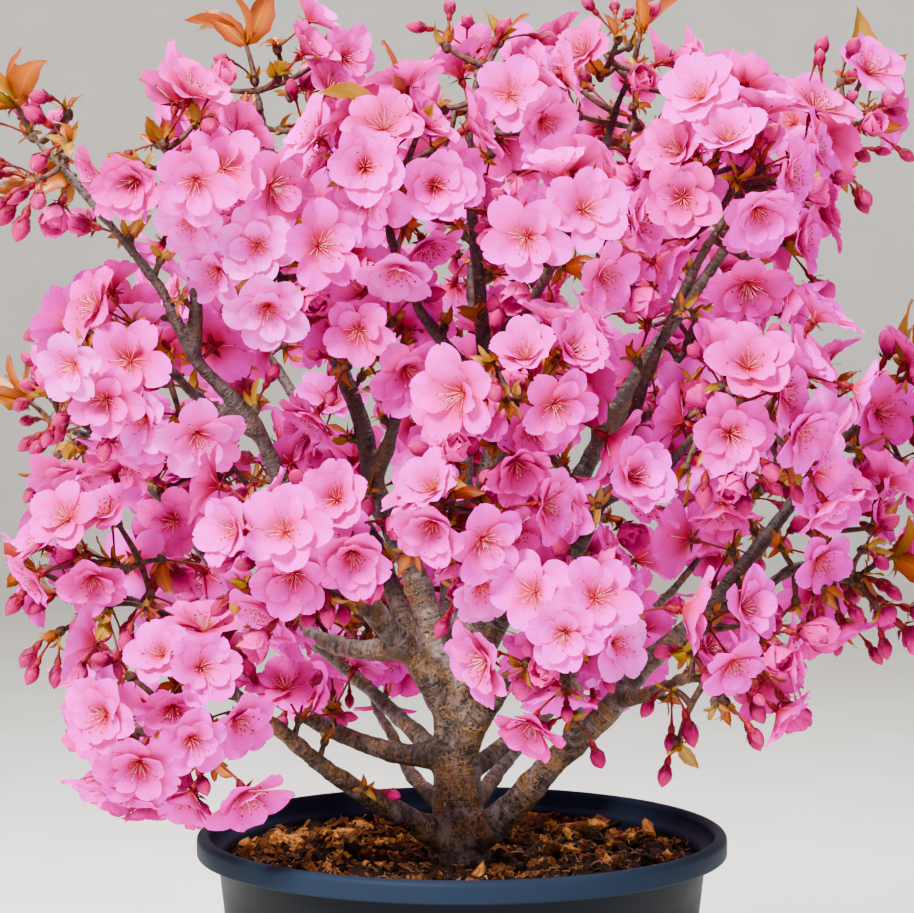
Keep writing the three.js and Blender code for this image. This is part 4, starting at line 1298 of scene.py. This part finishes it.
def skinned(name, rows, sides, material):
    points, edges, thick = [], [], []
    for row, radii in rows:
        first = len(points)
        points += (row * MM).tolist()
        thick += [radius * MM for radius in radii]
        edges += [(first + i, first + i + 1) for i in range(len(row) - 1)]
    mesh = bpy.data.meshes.new(name)
    mesh.from_pydata(points, edges, [])
    store(mesh, "thick", "FLOAT", thick)
    return through_nodes(linked(name, mesh), SKIN, {"Sides": sides, "Material": material}, name)


def settled(piece, nodes):
    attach(piece, "root")
    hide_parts(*nodes)


# Bark: all limbs and stems joined in one skin, with relief along each limb
LIMB_ENDS = Sizes(foot=0.5, tip=0.6)
LIMB_APART = 1000
BATCH = 2000
BARK_RINGS = Sizes(across=0.12, along=0.62, share=0.9)
BARK_LUMPS = Sizes(across=0.22, along=0.16, layer=7.0)


def limb_skin(points, radii, shape):
    tangents, sides, others = frames_along(points)
    angle = (np.arange(BARK.sides) * FULL_TURN / BARK.sides)[:, None]
    ring = sides[:, None] * np.cos(angle) + others[:, None] * np.sin(angle)
    rings = points[:, None] + radii[:, None, None] * ring
    low = points[0] - LIMB_ENDS.foot * radii[0] * tangents[0]
    high = points[-1] + LIMB_ENDS.tip * radii[-1] * tangents[-1]
    shape.tube(rings, np.zeros(rings.shape[:2] + (2,)), low, high, PLAIN_ENDS)


def limb_rods():
    rods = []
    for index, (path, widths) in enumerate(WOOD):
        _, sides, others = frames_along(path)
        radii = 0.5 * (widths[:-1] + widths[1:])
        run = lengths_along(path)[:-1] + LIMB_APART * index
        owner = np.full(len(path) - 1, index)
        rods.append((path[:-1], np.diff(path, axis=0), radii, sides[:-1], others[:-1], run, owner))
    return [np.concatenate(column) for column in zip(*rods)]


def limb_places(points):
    starts, line, radii, sides, others, runs, owners = limb_rods()
    long = np.linalg.norm(line, axis=1)
    places, thick, apart = [], [], []
    for low in range(0, len(points), BATCH):
        away = points[low : low + BATCH, None] - starts[None]
        share = np.clip(np.einsum("ijk,jk->ij", away, line) / long**2, 0, 1)
        left = np.linalg.norm(away - share[..., None] * line[None], axis=2) - radii
        best = np.argmin(left, axis=1)
        rows = np.arange(len(away))
        offset = away[rows, best] - share[rows, best][:, None] * line[best]
        x = np.einsum("ij,ij->i", offset, sides[best])
        y = np.einsum("ij,ij->i", offset, others[best])
        places.append(np.column_stack([x, y, runs[best] + share[rows, best] * long[best]]))
        thick.append(radii[best])
        rest = np.where(owners[None] == owners[best][:, None], np.inf, left).min(axis=1)
        apart.append(np.clip((rest - left[rows, best]) / BARK.seam, 0, 1))
    return np.vstack(places), np.concatenate(thick), np.concatenate(apart)


def vertex_rows(mesh, name):
    rows = np.empty(3 * len(mesh.vertices), np.float32)
    mesh.vertices.foreach_get(name, rows)
    return rows.reshape(-1, 3)


def joined_limbs():
    shape = Shape()
    for points, radii in WOOD:
        limb_skin(points, radii + BARK.swell, shape)
    maker = linked("bark_maker", shape.mesh("bark_maker"))
    remesh = maker.modifiers.new("join", "REMESH")
    remesh.mode = "VOXEL"
    remesh.voxel_size = BARK.voxel * MM
    remesh.use_smooth_shade = True
    smooth = maker.modifiers.new("ease", "SMOOTH")
    smooth.factor = MELT.factor
    smooth.iterations = BARK.ease
    return plain_copy(maker, "bark_maker")


def melted(maker, name):
    thick = limb_places(vertex_rows(maker.data, "co") / MM)[1]
    group = maker.vertex_groups.new(name="thick")
    for i, radius in enumerate(thick):
        group.add([i], min(max((radius - MELT.least) / MELT.span, 0.0), 1.0), "REPLACE")
    melt = maker.modifiers.new("melt", "SMOOTH")
    melt.vertex_group = "thick"
    melt.factor = MELT.factor
    melt.iterations = MELT.rounds
    return plain_copy(maker, name)


def bark_piece():
    piece = melted(joined_limbs(), "bark_of_trunk_and_boughs")
    mesh = piece.data
    while mesh.uv_layers:
        mesh.uv_layers.remove(mesh.uv_layers[0])
    points, normals = vertex_rows(mesh, "co") / MM, vertex_rows(mesh, "normal")
    places, _, apart = limb_places(points)
    relief = np.empty(len(points))
    for i, (x, y, run) in enumerate(places):
        high = BARK_LUMPS.along * run + BARK_LUMPS.layer
        ring = noise.noise((BARK_RINGS.across * x, BARK_RINGS.across * y, BARK_RINGS.along * run))
        lump = noise.noise((BARK_LUMPS.across * x, BARK_LUMPS.across * y, high))
        relief[i] = BARK.relief * apart[i] * (max(ring, 0.0) * BARK_RINGS.share + lump)
    points += normals * relief[:, None]
    mesh.vertices.foreach_set("co", (points * MM).astype(np.float32).ravel())
    store(mesh, "limb", "FLOAT_VECTOR", places * MM)
    store(mesh, "apart", "FLOAT", apart)
    mesh.update()
    mesh.materials.clear()
    mesh.materials.append(bark_paint())
    settled(piece, ["trunk"] + [spec.name for spec in LIMBS])


# Pot and soil
POT_FLAT = 0.6
POT_STEPS = 8
CORNER = ((0, 0), (0.35, 0.04), (0.75, 0.25), (0.96, 0.65), (1, 1))
LUMPS = ((0.06, 1.0, 0.55), (0.16, 5.0, 0.33), (0.42, 9.0, 0.35))


def rounded(radius, height, size):
    return [(radius + size * (a - 1), height + size * b) for a, b in CORNER]


def pot_section():
    band_foot = POT.height - BAND.height
    ledge = POT.height - BAND.ledge
    shelf = ledge - BAND.fall
    half = 0.5 * BAND.lip
    inner = BAND.radius - BAND.lip - BAND.draft
    wall = POT.wall_top - POT.wall
    ease = POT_INSIDE.ease
    section = [(0, 0), (POT_FLAT * POT.foot, 0)]
    section += rounded(POT.foot, 0, POT.foot_edge)
    for share in np.linspace(0, 1, POT_STEPS + 1)[1:]:
        radius = POT.foot + (POT.wall_top - POT.foot) * share
        section.append((radius, POT.foot_edge + (band_foot - POT.foot_edge) * share))
    section += rounded(BAND.radius, band_foot, BAND.edge)
    for i in range(BAND.roll + 1):
        angle = math.pi * i / BAND.roll
        radius = BAND.radius - half + half * math.cos(angle)
        section.append((radius, POT.height - half + half * math.sin(angle)))
    section += [(inner, ledge + ease), (inner - ease, ledge)]
    section += [(wall + ease, shelf), (wall, shelf - ease)]
    section.append((wall - POT_INSIDE.draft, shelf - POT_INSIDE.drop))
    return section + [(POT.foot - POT.wall, POT.base), (0, POT.base)]


def inner_radius(height):
    ledge = POT.height - BAND.ledge - BAND.fall
    share = (height - POT.base) / (ledge - POT.base)
    return POT.foot - POT.wall + share * (POT.wall_top - POT.foot)


def pot_piece():
    section = np.array(pot_section())
    shape = Shape()
    points, flats = rings_about(section[1:-1, 0], section[1:-1, 1], POT.segments)
    shape.tube(points, flats, (0, 0, 0), (0, 0, POT.base), PLAIN_ENDS)
    piece = linked("pot_body", shape.mesh("pot_body"))
    piece.data.materials.append(pot_paint())
    settled(piece, ["pot"])


def soil_level(x, y):
    share = (math.hypot(x, y) - SOIL.middle_radius) / (inner_radius(SOIL.edge) - SOIL.middle_radius)
    return SOIL.middle + (SOIL.edge - SOIL.middle) * min(max(share, 0.0), 1.0)


def soil_relief(x, y):
    lumps = sum(share * noise.noise((scale * x, scale * y, layer)) for scale, layer, share in LUMPS)
    quiet = 1 - math.exp(-((math.hypot(x, y) / RELIEF.quiet) ** 2))
    return RELIEF.height * lumps * spanned(RELIEF.calm, quiet) - RELIEF.sunk


def soil_height(x, y):
    heap = MOUND.height * math.exp(-((math.hypot(x, y) / MOUND.reach) ** 2))
    return soil_level(x, y) + heap + soil_relief(x, y)


def soil_piece():
    shape = Shape()
    edge = inner_radius(SOIL.edge) - SKIRT.gap
    angles = np.arange(SOIL.spokes) * FULL_TURN / SOIL.spokes
    rows = []
    for i in range(1, SOIL.rings + 1):
        r = edge * i / SOIL.rings
        flat = [(r * math.cos(a), r * math.sin(a)) for a in angles]
        rows.append([(x, y, soil_height(x, y)) for x, y in flat])
    foot = SOIL.edge - SKIRT.depth
    rows.append([(x * SKIRT.share, y * SKIRT.share, foot) for x, y, _ in rows[-1]])
    points = np.array(rows)
    flats = np.zeros(points.shape[:2] + (2,))
    shape.tube(points, flats, (0, 0, soil_height(0, 0)), (0, 0, foot), PLAIN_ENDS)
    piece = linked("soil_bed", shape.mesh("soil_bed"))
    # Near-black bed under the chips: dark soil, and painted shade for the gaps between the chips
    dark, light = rgb(4, 2, 1), rgb(24, 12, 4)
    paint = mottled_paint("dark_soil_and_gap_shade", dark, light, scale=160.0, rough=0.75, depth=0.002, gloss=0.1)
    piece.data.materials.append(paint)
    settled(piece, ["soil"])


GOLDEN_ANGLE = 2.399963
SPIN = 6.283
CHIPS = Sizes(count=4200, kinds=6, edge=5, trunk=14, least=0.34, spare=0.95, stray=0.5, lift=1.6, sunk=0.2)
CHIP_TILT = (0.2, 0.5)
CHIP_PITS = 0.8
# Chip tone: a random share plus painted light and shade, lighter on crests and towards the back left,
# darker in hollows and towards the front right
CHIP_TONE_AND_LIGHT = Sizes(chance=0.55, least=0.3, relief=0.16, damp=0.28)
FIBRES = Sizes(count=800, trunk=24, long=(6, 12), bow=3, slack=3, lift=1.8, stray=1.6, sunk=0.3, sides=4)
FIBRE_RADII = (0.22, 0.4, 0.45, 0.4, 0.2)


def chip_sites():
    sites = []
    edge = inner_radius(SOIL.edge) - CHIPS.edge
    for i in range(CHIPS.count):
        vary = [chance(i, k, DRAW.scatter) for k in range(9)]
        r = edge * math.sqrt((i + 0.5) / CHIPS.count)
        a = GOLDEN_ANGLE * i + CHIPS.stray * vary[0]
        x, y = r * math.cos(a), r * math.sin(a)
        relief = soil_relief(x, y)
        # Most pits are left bare, so the near-black bed shows there as painted shade
        if math.hypot(x, y) < CHIPS.trunk or (relief < RELIEF.pit and vary[8] < CHIP_PITS):
            continue
        place = np.array([x, y, soil_height(x, y) + CHIPS.lift * vary[1] - CHIPS.sunk])
        tilt = unit(np.array([vary[2] - 0.5, vary[3] - 0.5, spanned(CHIP_TILT, vary[6])]))
        size = CHIPS.least + CHIPS.spare * vary[4] ** 2
        # Painted light and shade: chips lighter on crests and towards the back left, darker in hollows and
        # towards the front right
        shade = CHIP_TONE_AND_LIGHT.chance * vary[7] + CHIP_TONE_AND_LIGHT.least + CHIP_TONE_AND_LIGHT.relief * relief
        shade += CHIP_TONE_AND_LIGHT.damp * (y - 0.5 * x) / edge
        sites.append((place, tilt, SPIN * vary[5], size, i % CHIPS.kinds, max(shade, 0.0)))
    return sites


def fibre_rows():
    rows = []
    edge = inner_radius(SOIL.edge) - CHIPS.edge
    for i in range(FIBRES.count):
        vary = [chance(i, k, DRAW.fibre) for k in range(4)]
        r, a, turn = edge * math.sqrt(vary[0]), SPIN * vary[1], SPIN * vary[2]
        if r < FIBRES.trunk:
            continue
        long = spanned(FIBRES.long, vary[3])
        path = []
        for s in np.linspace(-0.5, 0.5, len(FIBRE_RADII)):
            bow = FIBRES.bow * s * s
            x = r * math.cos(a) + long * s * math.cos(turn) + bow * math.sin(turn)
            y = r * math.sin(a) + long * s * math.sin(turn) - bow * math.cos(turn)
            grip = min(1.0, (edge + FIBRES.slack) / math.hypot(x, y))
            x, y = x * grip, y * grip
            stray = FIBRES.stray * (chance(i, round(9 * s), DRAW.fibre_lift) - FIBRES.sunk)
            path.append((x, y, soil_height(x, y) + FIBRES.lift + stray))
        rows.append((np.array(path), FIBRE_RADII))
    return rows


def soil_scatter():
    makers = (chip_shape, crumb_shape)
    group = collected("chip", [makers[k % 2](k) for k in range(CHIPS.kinds)], False)
    # Shades of chip, partly painted light and shade: name, span of shades, dark and light colour
    shades = [
        ("bark_chips", 0.64, 0.92, rgb(42, 20, 6), rgb(114, 62, 20)),
        ("dark_chips", 0.0, 0.64, rgb(8, 4, 1), rgb(42, 21, 7)),
        ("pale_chips", 0.92, 2.0, rgb(106, 60, 18), rgb(202, 136, 62)),
    ]
    sites = chip_sites()
    for name, low, high, dark, light in shades:
        some = [site for site in sites if low <= site[5] < high]
        paint = mottled_paint(name, dark, light, scale=420.0, rough=0.65, gloss=0.12)
        settled(scattered(name, some, group, paint), ["soil"])
    paint = mottled_paint("coir_fibres", rgb(58, 31, 9), rgb(138, 86, 36), scale=300.0, rough=0.6)
    settled(skinned("coir_fibres", fibre_rows(), FIBRES.sides, paint), ["soil"])


# Crown pieces
STIR_STAMENS = 997
STIR_LEAVES = 97


def picked(sites, kinds, stir=None):
    return [site[:4] + (int(site[4] * (stir or kinds)) % kinds,) for site in sites]


def bloom(name, sites, shapes, paint):
    settled(scattered(name, sites, shapes, paint), MASS_NAMES)


def blossom_pieces():
    # Tints of open blossom: name, span of draws, colours at the edge, middle and heart of a petal
    tints = [
        ("white_blossom", 0.0, 0.1, rgb(255, 106, 250), rgb(250, 24, 214), rgb(214, 0, 84)),
        ("pale_blossom", 0.1, 0.5, rgb(252, 28, 240), rgb(236, 1, 180), rgb(192, 0, 70)),
        ("pink_blossom", 0.5, 0.84, rgb(248, 14, 226), rgb(222, 0, 152), rgb(176, 0, 58)),
        ("rose_blossom", 0.84, 1.01, rgb(244, 7, 204), rgb(204, 0, 126), rgb(154, 0, 50)),
    ]
    petals = collected("petals", [blossom_shape(k) for k in range(len(KINDS))])
    for name, low, high, *colours in tints:
        some = [site for site in CROWN.blossoms if low <= site[5] < high]
        bloom(name, picked(some, len(KINDS)), petals, petal_paint(name, *colours))
    globes = collected("globe", [globe_shape(k) for k in range(len(GLOBES))])
    paint = petal_paint("opening_blossom", rgb(236, 2, 172), rgb(196, 0, 122), rgb(122, 0, 56))
    bloom("opening_blossom", picked(CROWN.globes, len(GLOBES)), globes, paint)


def flower_parts():
    stamens = [stamen_shapes(k) for k in range(STAMEN.kinds)]
    filaments = collected("filaments", [pair[0] for pair in stamens])
    anthers = collected("anthers", [pair[1] for pair in stamens])
    hearts = picked(CROWN.blossoms, STAMEN.kinds, STIR_STAMENS)
    bloom("filaments", hearts, filaments, filament_paint())
    gold = mottled_paint("anthers", rgb(64, 8, 8), rgb(168, 74, 20), scale=700.0, rough=0.5)
    bloom("anthers", hearts, anthers, gold)
    calyces = collected("calyx", [calyx_shape(lean) for lean in SEPAL_LEANS])
    kinds = enumerate((CROWN.blossoms, CROWN.globes, CROWN.buds))
    cups = [site[:4] + (kind,) for kind, sites in kinds for site in sites]
    dark, light = rgb(76, 2, 12), rgb(134, 8, 30)
    maroon = mottled_paint("calyces", dark, light, scale=500.0, rough=0.42, gloss=0.15)
    bloom("calyces", cups, calyces, maroon)
    buds = collected("bud", [bud_shape(k) for k in range(CLOSED.kinds)])
    bloom("buds", picked(CROWN.buds, CLOSED.kinds), buds, bud_paint())


def leaf_pieces():
    # Shades of leaf: name, span of draws, colours of blade, edge and rib
    shades = [
        ("bronze", 0.0, 0.52, rgb(168, 88, 2), rgb(124, 36, 4), rgb(206, 140, 24)),
        ("olive", 0.52, 1.01, rgb(150, 116, 2), rgb(150, 80, 3), rgb(196, 160, 28)),
    ]
    leaves = collected("leaf", [leaf_shape(LEAF, k) for k in range(LEAF.kinds)])
    scales = collected("scale", [leaf_shape(SCALE, k) for k in range(SCALE.kinds)])
    for shade, low, high, *colours in shades:
        paint = leaf_paint(f"{shade}_leaf", *colours)
        some = [site for site in CROWN.leaves if low <= site[4] < high]
        bloom(f"{shade}_leaves", picked(some, LEAF.kinds, STIR_LEAVES), leaves, paint)
        some = [site for site in CROWN.scales if low <= site[4] < high]
        bloom(f"{shade}_bud_scales", picked(some, SCALE.kinds, STIR_LEAVES), scales, paint)


def twig_pieces():
    dark, light = rgb(72, 8, 12), rgb(122, 34, 24)
    red = mottled_paint("flower_stalks", dark, light, scale=260.0, rough=0.42, gloss=0.15)
    settled(skinned("flower_stalks", CROWN.stalks, STALK.sides, red), MASS_NAMES)
    dark, light = rgb(34, 20, 15), rgb(92, 62, 46)
    brown = mottled_paint("twig_bark", dark, light, scale=380.0, rough=0.5, gloss=0.2)
    settled(skinned("twigs", CROWN.twigs, TWIG.sides, brown), MASS_NAMES)
    knuckles = collected("knuckle", [knuckle_shape()])
    settled(scattered("spur_ends", picked(CROWN.knuckles, 1), knuckles, brown), MASS_NAMES)


bark_piece()
pot_piece()
soil_piece()
soil_scatter()
blossom_pieces()
flower_parts()
leaf_pieces()
twig_pieces()

# Makers of repeated shapes are not part of the scene
for group in MAKERS:
    for thing in list(group.objects):
        bpy.data.objects.remove(thing)
    bpy.data.collections.remove(group)


# Studio in metres: a round pale floor that curves up all round, soft lights and the photo's view
STAGE = Sizes(floor=3.9, curve=1.1, top=3.6, segments=96, steps=12)
SURROUND = Sizes(colour=(0.93, 0.95, 1.0, 1.0), strength=0.22)
VIEW = Sizes(sensor=36.0, lens=102.4, tilt=87.85)
# Lights: name, place, target, width, power and colour
LIGHTS = [
    ("key", (-0.9, -1.5, 1.9), (0, 0, 0.42), 0.7, 248.0, (1.0, 0.985, 0.97)),
    ("fill", (1.5, -1.3, 0.9), (0, 0, 0.4), 1.4, 14.0, (0.94, 0.97, 1.0)),
    ("top", (0.1, 0.5, 2.0), (0, 0, 0.5), 1.2, 105.0, (1.0, 0.99, 0.97)),
]


def studio():
    bend = np.linspace(0, 0.5 * math.pi, STAGE.steps)
    wide = STAGE.floor + STAGE.curve
    radii = [0.5 * STAGE.floor] + list(STAGE.floor + STAGE.curve * np.sin(bend)) + [wide]
    heights = [0.0] + list(STAGE.curve * (1 - np.cos(bend))) + [STAGE.top]
    shape = Shape()
    points, flats = rings_about(np.array(radii) / MM, np.array(heights) / MM, STAGE.segments)
    base = shape.grid(points[:, ::-1], flats, True)
    shape.close(list(range(base, base + STAGE.segments))[::-1], (0, 0, 0), (0, 0))
    floor = linked("studio_floor", shape.mesh("studio_floor"))
    floor.data.materials.append(floor_paint())


def area_light(name, place, target, size, power, colour):
    light = bpy.data.lights.new(name, "AREA")
    light.shape = "DISK"
    light.size = size
    light.energy = power
    light.color = colour
    made = linked(name, light)
    made.location = place
    made.rotation_euler = (Vector(target) - Vector(place)).to_track_quat("-Z", "Y").to_euler()


studio()
for row in LIGHTS:
    area_light(*row)

world = bpy.data.worlds.new("studio")
world.use_nodes = True
back = world.node_tree.nodes["Background"]
back.inputs["Color"].default_value = SURROUND.colour
back.inputs["Strength"].default_value = SURROUND.strength
bpy.context.scene.world = world

camera = bpy.data.cameras.new("camera")
camera.sensor_width = VIEW.sensor
camera.lens = VIEW.lens
camera.dof.use_dof = False
view = linked("camera", camera)
view.location = EYE * MM
view.rotation_euler = (math.radians(VIEW.tilt), 0.0, 0.0)
bpy.context.scene.camera = view
